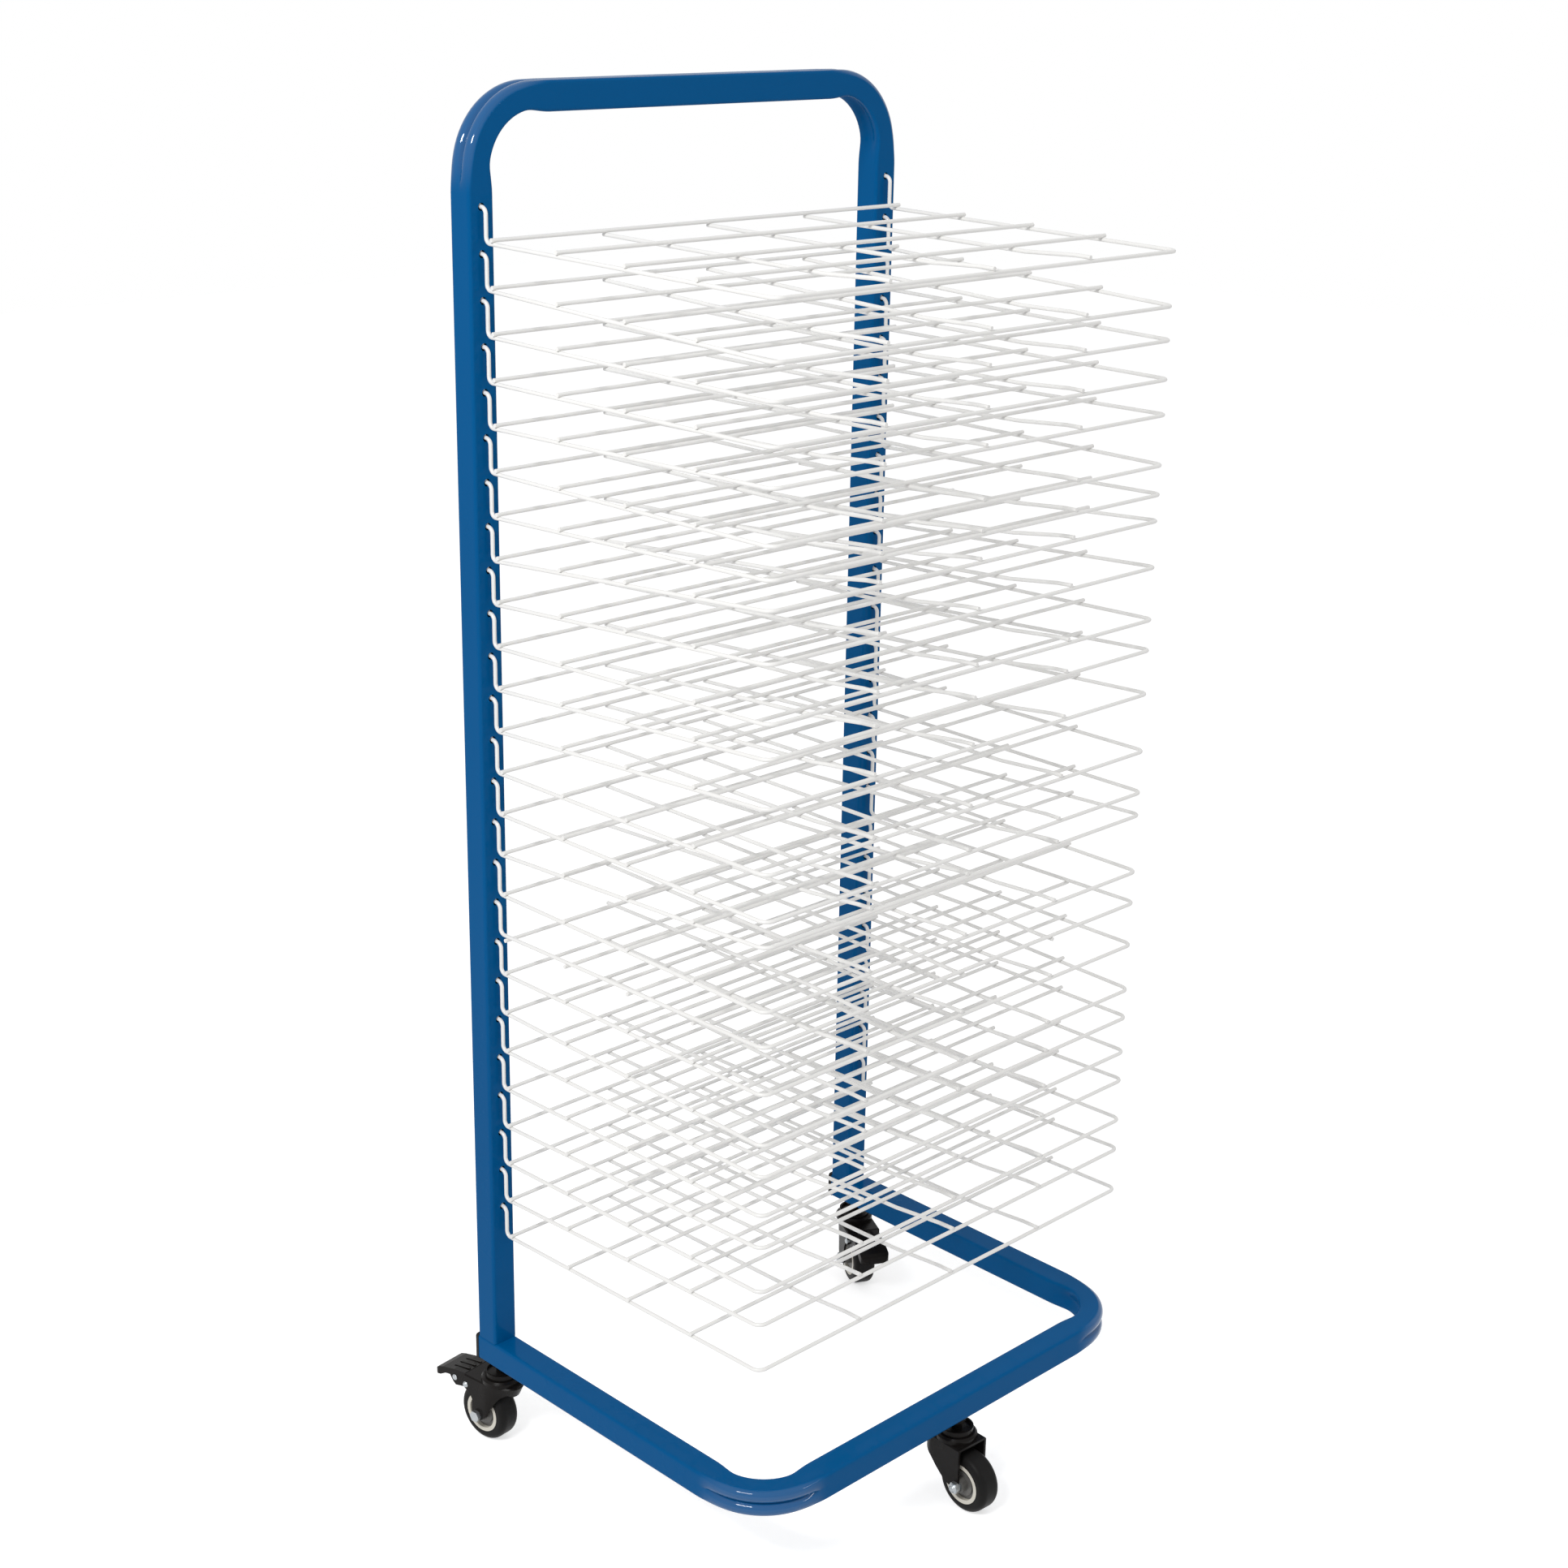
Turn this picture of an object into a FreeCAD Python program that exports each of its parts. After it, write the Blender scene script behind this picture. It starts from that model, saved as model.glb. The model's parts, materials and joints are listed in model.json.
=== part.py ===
"""Art drying rack: a square-tube frame on three casters that carries 25 hinged wire shelves.

Millimetres, +Z up, +X to the right when the shelves point at the viewer (-Y).
The origin lies on the floor under the middle of the rack's footprint.
"""
import FreeCAD, Part
import Sketcher
import math
import os
from FreeCAD import Placement, Rotation, Vector

SIZES = {
    # square-tube frame
    "tube_size": 25.0,
    "tube_wall": 1.5,
    "tube_corner": 2.5,
    "rack_width": 495.0,
    "base_reach": 355.0,
    "upright_rise": 1129.0,
    "upright_bend": 58.0,
    "base_bend": 52.0,
    "cap_flange": 3.5,
    "cap_lip": 0.4,
    "cap_plug": 5.5,
    "cap_fit": 0.15,
    "cap_hollow": 2.0,
    "cap_notch": 0.5,
    # wire shelves
    "shelf_count": 25,
    "shelf_pitch": 37.2,
    "top_hook_drop": 95.8,
    "shelf_reach": 337.0,
    "wire_size": 3.5,
    "cross_wires": 4,
    "long_wires": 3,
    "first_cross": 15.0,
    "cross_stub": 1.2,
    "shelf_corner": 8.0,
    "leg_drop": 28.0,
    "leg_standoff": 5.3,
    "leg_bend": 5.3,
    "hook_bend": 3.5,
    "hook_tail": 10.0,
    "tail_gap": 0.3,
    "hook_hole": 6.6,
    "weld_sink": 0.15,
    "joggle_run": 14.0,
    "joggle_bend": 20.0,
    "flipped_shelf": 17,
    # casters: each level is given by how far it lies over the top of the wheel
    "caster_height": 88.6,
    "wheel_size": 56.4,
    "wheel_width": 22.2,
    "caster_trail": 16.3,
    "front_trail": 19.0,
    "front_caster_x": 12.4,
    "rear_stem_in": 3.2,
    "rear_stem_back": 11.6,
    "right_stem_out": 3.2,
    "right_stem_back": 5.0,
    "stem_size": 8.0,
    "stem_rise": 14.0,
    "stem_fit": 0.25,
    "stem_nut": 6.5,
    "weld_nut_flats": 13.0,
    "collar_flats": 15.0,
    "cup_size": 30.8,
    "cup_top_over": 20.8,
    "cup_floor_over": 18.4,
    "cup_bottom_over": 16.0,
    "cup_wall": 1.8,
    "race_gap": 0.5,
    "race_size": 38.2,
    "ball_size": 4.0,
    "ball_circle": 23.0,
    "ball_fit": 0.08,
    "ball_count": 12,
    "kingpin_size": 9.0,
    "kingpin_head": 15.0,
    "kingpin_head_thick": 2.2,
    "pin_play": 0.4,
    "crown_drop_over": 10.0,
    "fork_plate": 2.2,
    "fork_width": 35.6,
    "fork_lead": 25.0,
    "fork_lead_low": 11.0,
    "fork_knee_over": -19.8,
    "fork_shoulder": 8.0,
    "fork_nose": 12.0,
    "front_lead": 27.0,
    "front_shoulder": -14.0,
    "front_nose": 40.0,
    "fork_crown_bend": 1.2,
    "fork_tail_plain": 20.8,
    "fork_tail_brake": 32.0,
    "fork_eye": 5.8,
    "tyre_shoulder": 6.0,
    "hub_size": 38.0,
    "hub_rim": 3.6,
    "hub_step": 3.6,
    "hub_boss": 14.0,
    "hub_side_gap": 0.5,
    "sleeve_size": 9.0,
    "sleeve_fit": 0.08,
    "axle_size": 6.0,
    "axle_fit": 0.1,
    "axle_flats": 10.0,
    "axle_head": 3.8,
    "axle_end": 2.0,
    "nut_collar": 1.6,
    # brake pedal of the two rear casters
    "pedal_plate": 2.0,
    "pedal_side_gap": 0.35,
    "pedal_reach": 75.5,
    "pedal_top_over": 9.7,
    "pedal_pivot_out": 30.8,
    "pedal_pivot_drop_over": -0.8,
    "rivet_size": 4.0,
    "rivet_head": 6.0,
    "rivet_head_thick": 1.4,
    "pedal_corner": 6.0,
    "pedal_rib": 2.0,
    "pedal_rib_rise": 0.8,
    "pedal_rib_pitch": 7.5,
    "pin_fit": 0.06,
    "spring_pin": 2.4,
    "spring_wire": 1.0,
    "spring_out": 26.5,
    "spring_drop_over": 4.6,
}

# Levels of a caster, which the sheet turns into drops from the underside of the base tube.
LEVELS = ("cup_top", "cup_floor", "cup_bottom", "crown_drop", "fork_knee", "pedal_top",
          "pedal_pivot_drop", "spring_drop")

# How far each shelf droops (+) or rises (-) from level, in degrees, top shelf first.
DROOP = (1.3, 2.8, 1.3, 0.6, -0.6, 0.5, -1.5, -3.9, -3.2, -1.5, -3.1, -2.6, 0.2,
         0.5, -2.2, 0.8, -0.4, 0.3, 1.6, 0.0, -0.4, -1.8, -1.2, -2.3, -1.4)

# Turn of each caster about its stem, in degrees; at zero the wheel trails towards +Y.
CASTER_TURN = {"rear_left": 6.7, "rear_right": 152.0, "front": 177.4}

doc = FreeCAD.newDocument("ArtDryingRack")
sheet = doc.addObject("Spreadsheet::Sheet", "Sizes")
NODES = []


def fill_sheet():
    """Write every driving size into the sheet under its own name."""
    row = 1
    for name, value in SIZES.items():
        sheet.set("A%d" % row, name)
        sheet.set("B%d" % row, repr(value))
        sheet.setAlias("B%d" % row, name)
        row += 1
    for name in LEVELS:
        sheet.set("A%d" % row, name)
        sheet.set("B%d" % row, "=caster_height - wheel_size - %s_over" % name)
        sheet.setAlias("B%d" % row, name)
        row += 1
    for index, angle in enumerate(DROOP, start=1):
        name = "droop_%02d" % index
        sheet.set("A%d" % row, name)
        sheet.set("B%d" % row, repr(angle))
        sheet.setAlias("B%d" % row, name)
        row += 1
    for place, angle in CASTER_TURN.items():
        name = "turn_" + place
        sheet.set("A%d" % row, name)
        sheet.set("B%d" % row, repr(angle))
        sheet.setAlias("B%d" % row, name)
        row += 1
    doc.recompute()


def size(name):
    """Read one size back from the sheet."""
    return float(getattr(sheet, name))


def bind(target, prop, formula):
    """Tie a property to the sheet; a name in braces stands for a cell."""
    target.setExpression(prop, formula.replace("{", "Sizes.").replace("}", ""))


# ---------------------------------------------------------------- frame places
def post_face_y():
    """Front face of the uprights, with the footprint centred on the origin."""
    front = size("base_reach") - size("tube_size") / 2 + size("front_trail") + size("wheel_size") / 2
    rear = size("rear_stem_back") + size("pedal_reach")
    return (front - rear) / 2


def base_top_z():
    return size("caster_height") + size("tube_size")


def post_x():
    return (size("rack_width") - size("tube_size")) / 2


def hook_z(index):
    """Height of the hook holes of one shelf; the top shelf is number 1."""
    top = base_top_z() + size("upright_rise") - size("top_hook_drop")
    return top - (index - 1) * size("shelf_pitch")


# ---------------------------------------------------------------- sketch helpers
def origin_plane(body, role):
    return [item for item in body.Origin.OriginFeatures if item.Role == role][0]


def new_sketch(body, name, role, offset=None):
    sketch = body.newObject("Sketcher::SketchObject", name)
    sketch.AttachmentSupport = [(origin_plane(body, role), "")]
    sketch.MapMode = "FlatFace"
    if offset is not None:
        sketch.AttachmentOffset = offset
    return sketch


def hold(sketch, kind, geometry, point, value, formula):
    """Add one DistanceX or DistanceY from the sketch origin and tie it to the sheet."""
    number = sketch.addConstraint(Sketcher.Constraint(kind, -1, 1, geometry, point, value))
    bind(sketch, "Constraints[%d]" % number, formula)
    return number


def rounded_square(sketch, centre, side, corner, centre_formula, side_formula, corner_formula):
    """Draw a square with round corners, fully held by its centre, side and corner."""
    half = side / 2
    turn = math.pi / 2
    inner = half - corner
    for quarter in range(4):
        angle = -turn + quarter * turn
        way = Vector(math.cos(angle + turn), math.sin(angle + turn), 0)
        out = Vector(math.cos(angle), math.sin(angle), 0)
        middle = Vector(centre[0], centre[1], 0) + out * half
        sketch.addGeometry(Part.LineSegment(middle - way * inner, middle + way * inner))
    for quarter in range(4):
        angle = -turn + quarter * turn
        out = Vector(math.cos(angle), math.sin(angle), 0)
        side_way = Vector(math.cos(angle + turn), math.sin(angle + turn), 0)
        hub = Vector(centre[0], centre[1], 0) + out * inner + side_way * inner
        circle = Part.Circle(hub, Vector(0, 0, 1), corner)
        sketch.addGeometry(Part.ArcOfCircle(circle, angle, angle + turn))
    for quarter in range(4):
        arc = 4 + quarter
        following = (quarter + 1) % 4
        sketch.addConstraint(Sketcher.Constraint("Tangent", quarter, 2, arc, 1))
        sketch.addConstraint(Sketcher.Constraint("Tangent", arc, 2, following, 1))
    sketch.addConstraint(Sketcher.Constraint("Horizontal", 0))
    sketch.addConstraint(Sketcher.Constraint("Vertical", 1))
    sketch.addConstraint(Sketcher.Constraint("Horizontal", 2))
    sketch.addConstraint(Sketcher.Constraint("Vertical", 3))
    for quarter in range(1, 4):
        sketch.addConstraint(Sketcher.Constraint("Equal", 4, 4 + quarter))
    radius = sketch.addConstraint(Sketcher.Constraint("Radius", 4, corner))
    bind(sketch, "Constraints[%d]" % radius, corner_formula)
    x_formula, y_formula = centre_formula
    hold(sketch, "DistanceX", 1, 1, centre[0] + half, "%s + (%s)/2" % (x_formula, side_formula))
    hold(sketch, "DistanceX", 3, 1, centre[0] - half, "%s - (%s)/2" % (x_formula, side_formula))
    hold(sketch, "DistanceY", 2, 1, centre[1] + half, "%s + (%s)/2" % (y_formula, side_formula))
    hold(sketch, "DistanceY", 0, 1, centre[1] - half, "%s - (%s)/2" % (y_formula, side_formula))


def bent_u(sketch, half, near, far, bend, half_formula, near_formula, far_formula, bend_formula):
    """Draw an open U: two legs along the second axis joined by a bar with two tangent bends."""
    way = 1 if far > near else -1
    shoulder = far - way * bend
    sketch.addGeometry(Part.LineSegment(Vector(-half, near, 0), Vector(-half, shoulder, 0)))
    sketch.addGeometry(Part.LineSegment(Vector(-half + bend, far, 0), Vector(half - bend, far, 0)))
    sketch.addGeometry(Part.LineSegment(Vector(half, shoulder, 0), Vector(half, near, 0)))
    up = Vector(0, 0, 1)
    left = Part.Circle(Vector(-half + bend, shoulder, 0), up, bend)
    right = Part.Circle(Vector(half - bend, shoulder, 0), up, bend)
    if way > 0:
        sketch.addGeometry(Part.ArcOfCircle(left, math.pi / 2, math.pi))
        sketch.addGeometry(Part.ArcOfCircle(right, 0, math.pi / 2))
        ends = ((0, 2, 3, 2), (3, 1, 1, 1), (1, 2, 4, 2), (4, 1, 2, 1))
    else:
        sketch.addGeometry(Part.ArcOfCircle(left, math.pi, 1.5 * math.pi))
        sketch.addGeometry(Part.ArcOfCircle(right, 1.5 * math.pi, 2 * math.pi))
        ends = ((0, 2, 3, 1), (3, 2, 1, 1), (1, 2, 4, 1), (4, 2, 2, 1))
    for first, first_end, second, second_end in ends:
        sketch.addConstraint(Sketcher.Constraint("Tangent", first, first_end, second, second_end))
    sketch.addConstraint(Sketcher.Constraint("Vertical", 0))
    sketch.addConstraint(Sketcher.Constraint("Horizontal", 1))
    sketch.addConstraint(Sketcher.Constraint("Vertical", 2))
    sketch.addConstraint(Sketcher.Constraint("Equal", 3, 4))
    radius = sketch.addConstraint(Sketcher.Constraint("Radius", 3, bend))
    bind(sketch, "Constraints[%d]" % radius, bend_formula)
    hold(sketch, "DistanceX", 0, 1, -half, "-(%s)" % half_formula)
    hold(sketch, "DistanceX", 2, 2, half, half_formula)
    hold(sketch, "DistanceY", 0, 1, near, near_formula)
    hold(sketch, "DistanceY", 2, 2, near, near_formula)
    hold(sketch, "DistanceY", 1, 1, far, far_formula)


def hollow_tube(body, path, profile_role, offset, centre, centre_formula):
    """Sweep the square section along the path and hollow it out to its wall."""
    tube, wall, corner = size("tube_size"), size("tube_wall"), size("tube_corner")
    edges = ["Edge%d" % (number + 1) for number in range(5)]
    outer = new_sketch(body, "OuterSection", profile_role, offset)
    rounded_square(outer, centre, tube, corner, centre_formula, "{tube_size}", "{tube_corner}")
    inner = new_sketch(body, "InnerSection", profile_role, offset)
    rounded_square(inner, centre, tube - 2 * wall, corner - wall, centre_formula,
                   "{tube_size} - 2*{tube_wall}", "{tube_corner} - {tube_wall}")
    doc.recompute()
    solid = body.newObject("PartDesign::AdditivePipe", "TubeOutside")
    solid.Profile = outer
    solid.Spine = (path, edges)
    doc.recompute()
    hollow = body.newObject("PartDesign::SubtractivePipe", "TubeInside")
    hollow.Profile = inner
    hollow.Spine = (path, edges)
    doc.recompute()
    return hollow


def finish_node(item, label):
    """Give a finished sub-part its name and remember it for the export."""
    item.Label = label
    NODES.append(item)
    return item


# ---------------------------------------------------------------- frame
def make_upright_frame():
    """One tube bent to an upside-down U, with a row of hook holes down the front of each post."""
    body = doc.addObject("PartDesign::Body", "UprightFrame")
    tube = size("tube_size")
    half, near, far = post_x(), 0.0, size("upright_rise") - tube / 2
    half_formula = "({rack_width} - {tube_size})/2"
    path = new_sketch(body, "UprightPath", "XZ_Plane")
    bent_u(path, half, near, far, size("upright_bend"), half_formula, "0",
           "{upright_rise} - {tube_size}/2", "{upright_bend}")
    hollow_tube(body, path, "XY_Plane", None, (-half, 0.0), ("-(%s)" % half_formula, "0"))
    holes = new_sketch(body, "HookHoles", "XZ_Plane")
    rise = size("upright_rise") - size("top_hook_drop")
    for side, sign in ((-1, "-"), (1, "")):
        centre = Vector(side * half, rise, 0)
        hole = holes.addGeometry(Part.Circle(centre, Vector(0, 0, 1), size("hook_hole") / 2))
        hold(holes, "DistanceX", hole, 3, side * half, "%s(%s)" % (sign, half_formula))
        hold(holes, "DistanceY", hole, 3, rise, "{upright_rise} - {top_hook_drop}")
        diameter = holes.addConstraint(Sketcher.Constraint("Diameter", hole, size("hook_hole")))
        bind(holes, "Constraints[%d]" % diameter, "{hook_hole}")
    doc.recompute()
    pocket = body.newObject("PartDesign::Pocket", "HookPocket")
    pocket.Profile = holes
    pocket.Type = "Length"
    pocket.Reversed = True
    bind(pocket, "Length", "{tube_size}")
    doc.recompute()
    row = body.newObject("PartDesign::LinearPattern", "HookRow")
    row.Originals = [pocket]
    row.Direction = (path, ["V_Axis"])
    row.Reversed = True
    row.Mode = "Spacing"
    bind(row, "Offset", "{shelf_pitch}")
    bind(row, "Occurrences", "{shelf_count}")
    body.Tip = row
    body.Placement = Placement(Vector(0, post_face_y() + tube / 2, base_top_z()), Rotation())
    doc.recompute()
    return finish_node(body, "upright_frame")


def stem_places():
    """Where the three caster stems enter the underside of the base tube."""
    rear_x = post_x() - size("rear_stem_in")
    rear_y = post_face_y() + size("rear_stem_back")
    front_y = post_face_y() - size("base_reach") + size("tube_size") / 2
    right_x = post_x() + size("right_stem_out")
    right_y = post_face_y() + size("right_stem_back")
    return {"rear_left": (-rear_x, rear_y), "rear_right": (right_x, right_y),
            "front": (size("front_caster_x"), front_y)}


def make_base_frame():
    """One tube bent to a flat U, open at the back, with three stem holes in its underside."""
    body = doc.addObject("PartDesign::Body", "BaseFrame")
    tube = size("tube_size")
    half = post_x()
    near, far = tube, tube / 2 - size("base_reach")
    half_formula = "({rack_width} - {tube_size})/2"
    path = new_sketch(body, "BasePath", "XY_Plane")
    bent_u(path, half, near, far, size("base_bend"), half_formula, "{tube_size}",
           "{tube_size}/2 - {base_reach}", "{base_bend}")
    rear_end = Placement(Vector(0, 0, -near), Rotation())
    hollow_tube(body, path, "XZ_Plane", rear_end, (-half, 0.0), ("-(%s)" % half_formula, "0"))
    for name in ("OuterSection", "InnerSection"):
        for item in body.Group:
            if item.Name.startswith(name):
                bind(item, "AttachmentOffset.Base.z", "-{tube_size}")
    holes = new_sketch(body, "StemHoles", "XY_Plane")
    rear = "{rear_stem_back}"
    front = "{tube_size}/2 - {base_reach}"
    rear_x, rear_y = half - size("rear_stem_in"), size("rear_stem_back")
    rear_formula = "-(%s - {rear_stem_in})" % half_formula
    right_x, right_y = half + size("right_stem_out"), size("right_stem_back")
    right_formula = "%s + {right_stem_out}" % half_formula
    spots = ((-rear_x, rear_y, rear_formula, rear),
             (right_x, right_y, right_formula, "{right_stem_back}"),
             (size("front_caster_x"), far, "{front_caster_x}", front))
    bore = size("stem_size") + 2 * size("stem_fit")
    for spot_x, spot_y, x_formula, y_formula in spots:
        hole = holes.addGeometry(Part.Circle(Vector(spot_x, spot_y, 0), Vector(0, 0, 1), bore / 2))
        hold(holes, "DistanceX", hole, 3, spot_x, x_formula)
        hold(holes, "DistanceY", hole, 3, spot_y, y_formula)
        diameter = holes.addConstraint(Sketcher.Constraint("Diameter", hole, bore))
        bind(holes, "Constraints[%d]" % diameter, "{stem_size} + 2*{stem_fit}")
    doc.recompute()
    pocket = body.newObject("PartDesign::Pocket", "StemPocket")
    pocket.Profile = holes
    pocket.Type = "Length"
    bind(pocket, "Length", "{tube_size}")
    doc.recompute()
    place = Vector(0, post_face_y(), size("caster_height") + tube / 2)
    body.Placement = Placement(place, Rotation())
    return finish_node(body, "base_frame")


def make_end_cap(label, side):
    """Black plastic plug with a flange; its neck is open below, where the stem nut sits."""
    body = doc.addObject("PartDesign::Body", "Cap_" + label)
    flange = new_sketch(body, "FlangeOutline", "XZ_Plane")
    wide = size("tube_size") + 2 * size("cap_lip")
    rounded_square(flange, (0.0, 0.0), wide, size("tube_corner"), ("0", "0"),
                   "{tube_size} + 2*{cap_lip}", "{tube_corner}")
    doc.recompute()
    plate = body.newObject("PartDesign::Pad", "Flange")
    plate.Profile = flange
    plate.Reversed = True
    bind(plate, "Length", "{cap_flange}")
    doc.recompute()
    plug = new_sketch(body, "PlugOutline", "XZ_Plane")
    narrow = size("tube_size") - 2 * size("tube_wall") - 2 * size("cap_fit")
    rounded_square(plug, (0.0, 0.0), narrow, 1.0, ("0", "0"),
                   "{tube_size} - 2*{tube_wall} - 2*{cap_fit}", "{tube_corner} - {tube_wall}")
    doc.recompute()
    neck = body.newObject("PartDesign::Pad", "Plug")
    neck.Profile = plug
    bind(neck, "Length", "{cap_plug}")
    doc.recompute()
    hollow = new_sketch(body, "PlugHollow", "XZ_Plane")
    core = narrow - 2 * size("cap_hollow")
    lowered = -size("cap_hollow") - size("cap_notch")
    rounded_square(hollow, (0.0, lowered), core, 0.8, ("0", "-{cap_hollow} - {cap_notch}"),
                   "{tube_size} - 2*{tube_wall} - 2*{cap_fit} - 2*{cap_hollow}", "0.8")
    doc.recompute()
    cut = body.newObject("PartDesign::Pocket", "Hollow")
    cut.Profile = hollow
    cut.Reversed = True
    bind(cut, "Length", "{cap_plug}")
    doc.recompute()
    body.Tip = cut
    rear_y = post_face_y() + size("tube_size")
    body.Placement = Placement(
        Vector(side * post_x(), rear_y, size("caster_height") + size("tube_size") / 2), Rotation())
    return finish_node(body, label)


def make_stem_nuts():
    """Three weld nuts on the tube's inner floor that the caster stems screw into."""
    solids = []
    for place, (x, y) in stem_places().items():
        nut = doc.addObject("Part::Prism", "StemNut_" + place)
        nut.Polygon = 6
        bind(nut, "Circumradius", "{weld_nut_flats}/2/cos(30)")
        bind(nut, "Height", "{stem_nut}")
        bore = doc.addObject("Part::Cylinder", "StemNutBore_" + place)
        bind(bore, "Radius", "{stem_size}/2 + 0.05")
        bind(bore, "Height", "{stem_nut}")
        cut = doc.addObject("Part::Cut", "StemNutCut_" + place)
        cut.Base = nut
        cut.Tool = bore
        floor = Vector(x, y, size("caster_height") + size("tube_wall"))
        cut.Placement = Placement(floor, Rotation(Vector(0, 0, 1), 30))
        solids.append(cut)
    group = doc.addObject("Part::Compound", "StemNuts")
    group.Links = solids
    doc.recompute()
    return finish_node(group, "stem_weld_nuts")


# ---------------------------------------------------------------- shelves
def bent_path(corners, bends):
    """Straight runs through the corners, joined by tangent arcs of the given bend radii."""
    edges = []
    start = corners[0]
    for corner, following, bend in zip(corners[1:-1], corners[2:], bends):
        into = (corner - start).normalize()
        away = (following - corner).normalize()
        turn = into.getAngle(away)
        tangent = bend * math.tan(turn / 2)
        first = corner - into * tangent
        last = corner + away * tangent
        bisector = (away - into).normalize()
        middle = corner + bisector * (bend / math.cos(turn / 2) - bend)
        edges.append(Part.LineSegment(start, first).toShape())
        edges.append(Part.Arc(first, middle, last).toShape())
        start = last
    edges.append(Part.LineSegment(start, corners[-1]).toShape())
    return Part.Wire(edges)


def wire_solid(corners, bends):
    """A round wire of the shelf's size that follows a bent path."""
    path = bent_path(corners, bends)
    ring = Part.Circle(corners[0], corners[1] - corners[0], size("wire_size") / 2)
    profile = Part.Wire(ring.toShape())
    return path.makePipeShell([profile], True, False)


def shelf_frame(index):
    """The shelf's own places: x half width, droop, and a function from reach and lift to (y, z)."""
    droop = math.radians(size("droop_%02d" % index))
    bend_y = -size("leg_standoff")
    bend_z = -size("leg_drop")

    def spot(reach, lift):
        forward = reach - size("leg_standoff")
        y = bend_y - forward * math.cos(droop) - lift * math.sin(droop)
        z = bend_z - forward * math.sin(droop) + lift * math.cos(droop)
        return y, z

    return spot


def make_shelf_rim(index, spot):
    """One wire: tail inside the post, hook, leg, side, rounded front corners and back again."""
    half = post_x()
    tail_y = size("tube_wall") + size("wire_size") / 2 + size("tail_gap")
    leg_y = -size("leg_standoff")
    front_y, front_z = spot(size("shelf_reach"), 0.0)
    side = [(tail_y, size("hook_tail")), (tail_y, 0.0), (leg_y, 0.0),
            (leg_y, -size("leg_drop")), (front_y, front_z)]
    corners = [Vector(-half, y, z) for y, z in side] + [Vector(half, y, z) for y, z in reversed(side)]
    hook, leg, corner = size("hook_bend"), size("leg_bend"), size("shelf_corner")
    bends = [hook, leg, leg, corner, corner, leg, leg, hook]
    rim = doc.addObject("Part::Feature", "ShelfRim_%02d" % index)
    rim.Shape = wire_solid(corners, bends)
    return rim


def make_cross_wires(index, spot, side_up):
    """Straight wires from side to side, welded onto the side wires."""
    wires = []
    stack = side_up * (size("wire_size") - size("weld_sink"))
    cell = (size("shelf_reach") - size("first_cross")) / size("cross_wires")
    for number in range(int(size("cross_wires"))):
        y, z = spot(size("first_cross") + number * cell, stack)
        wire = doc.addObject("Part::Cylinder", "CrossWire_%02d_%d" % (index, number + 1))
        bind(wire, "Radius", "{wire_size}/2")
        bind(wire, "Height", "{rack_width} - {tube_size} + {wire_size} + 2*{cross_stub}")
        length = 2 * post_x() + size("wire_size") + 2 * size("cross_stub")
        wire.Placement = Placement(Vector(-length / 2, y, z), Rotation(Vector(0, 1, 0), 90))
        wires.append(wire)
    return wires


def make_long_wires(index, spot, side_up):
    """Wires from back to front under the cross wires, joggled up onto the front of the rim."""
    wires = []
    thick = size("wire_size")
    lift = side_up * (thick - size("weld_sink"))
    gap = 2 * post_x() / (size("long_wires") + 1)
    cell = (size("shelf_reach") - size("first_cross")) / size("cross_wires")
    back = size("first_cross") - thick / 2 - size("cross_stub")
    last_cross = size("shelf_reach") - cell
    knee = last_cross + size("joggle_run")
    heel = size("shelf_reach") - size("joggle_run")
    tip = size("shelf_reach") + thick / 2 - size("weld_sink")
    side = [(back, 0.0), (knee, 0.0), (heel, lift), (tip, lift)]
    for number in range(int(size("long_wires"))):
        x = -post_x() + (number + 1) * gap
        corners = []
        for reach, height in side:
            y, z = spot(reach, height)
            corners.append(Vector(x, y, z))
        wire = doc.addObject("Part::Feature", "LongWire_%02d_%d" % (index, number + 1))
        wire.Shape = wire_solid(corners, [size("joggle_bend"), size("joggle_bend")])
        wires.append(wire)
    return wires


def make_shelf(index):
    """One welded wire shelf that hangs by two hooks in the posts and hinges up in their holes."""
    spot = shelf_frame(index)
    side_up = -1 if index == int(size("flipped_shelf")) else 1
    pieces = [make_shelf_rim(index, spot)]
    pieces += make_cross_wires(index, spot, side_up)
    pieces += make_long_wires(index, spot, side_up)
    shelf = doc.addObject("Part::Compound", "Shelf_%02d" % index)
    shelf.Links = pieces
    shelf.Placement = Placement(Vector(0, post_face_y(), hook_z(index)), Rotation())
    return finish_node(shelf, "shelf_%02d" % index)


# ---------------------------------------------------------------- casters
def outline(sketch, corners):
    """Draw a closed outline through the corners; each corner is x, y and the two formulas."""
    count = len(corners)
    for number in range(count):
        here, there = corners[number], corners[(number + 1) % count]
        sketch.addGeometry(Part.LineSegment(Vector(here[0], here[1], 0), Vector(there[0], there[1], 0)))
    for number in range(count):
        sketch.addConstraint(Sketcher.Constraint("Coincident", number, 2, (number + 1) % count, 1))
    for number, (x, y, x_formula, y_formula) in enumerate(corners):
        hold(sketch, "DistanceX", number, 1, x, x_formula)
        hold(sketch, "DistanceY", number, 1, y, y_formula)


def value_of(formula):
    """Work out a sheet formula as a plain number, for a sketch's first shape."""
    text = formula
    for name in (*SIZES, *LEVELS):
        text = text.replace("{%s}" % name, "(%r)" % size(name))
    return float(FreeCAD.Units.Quantity(text).Value)


def formula_outline(sketch, corners):
    """Draw a closed outline whose corners are pairs of sheet formulas."""
    outline(sketch, [(value_of(x), value_of(y), x, y) for x, y in corners])


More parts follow.
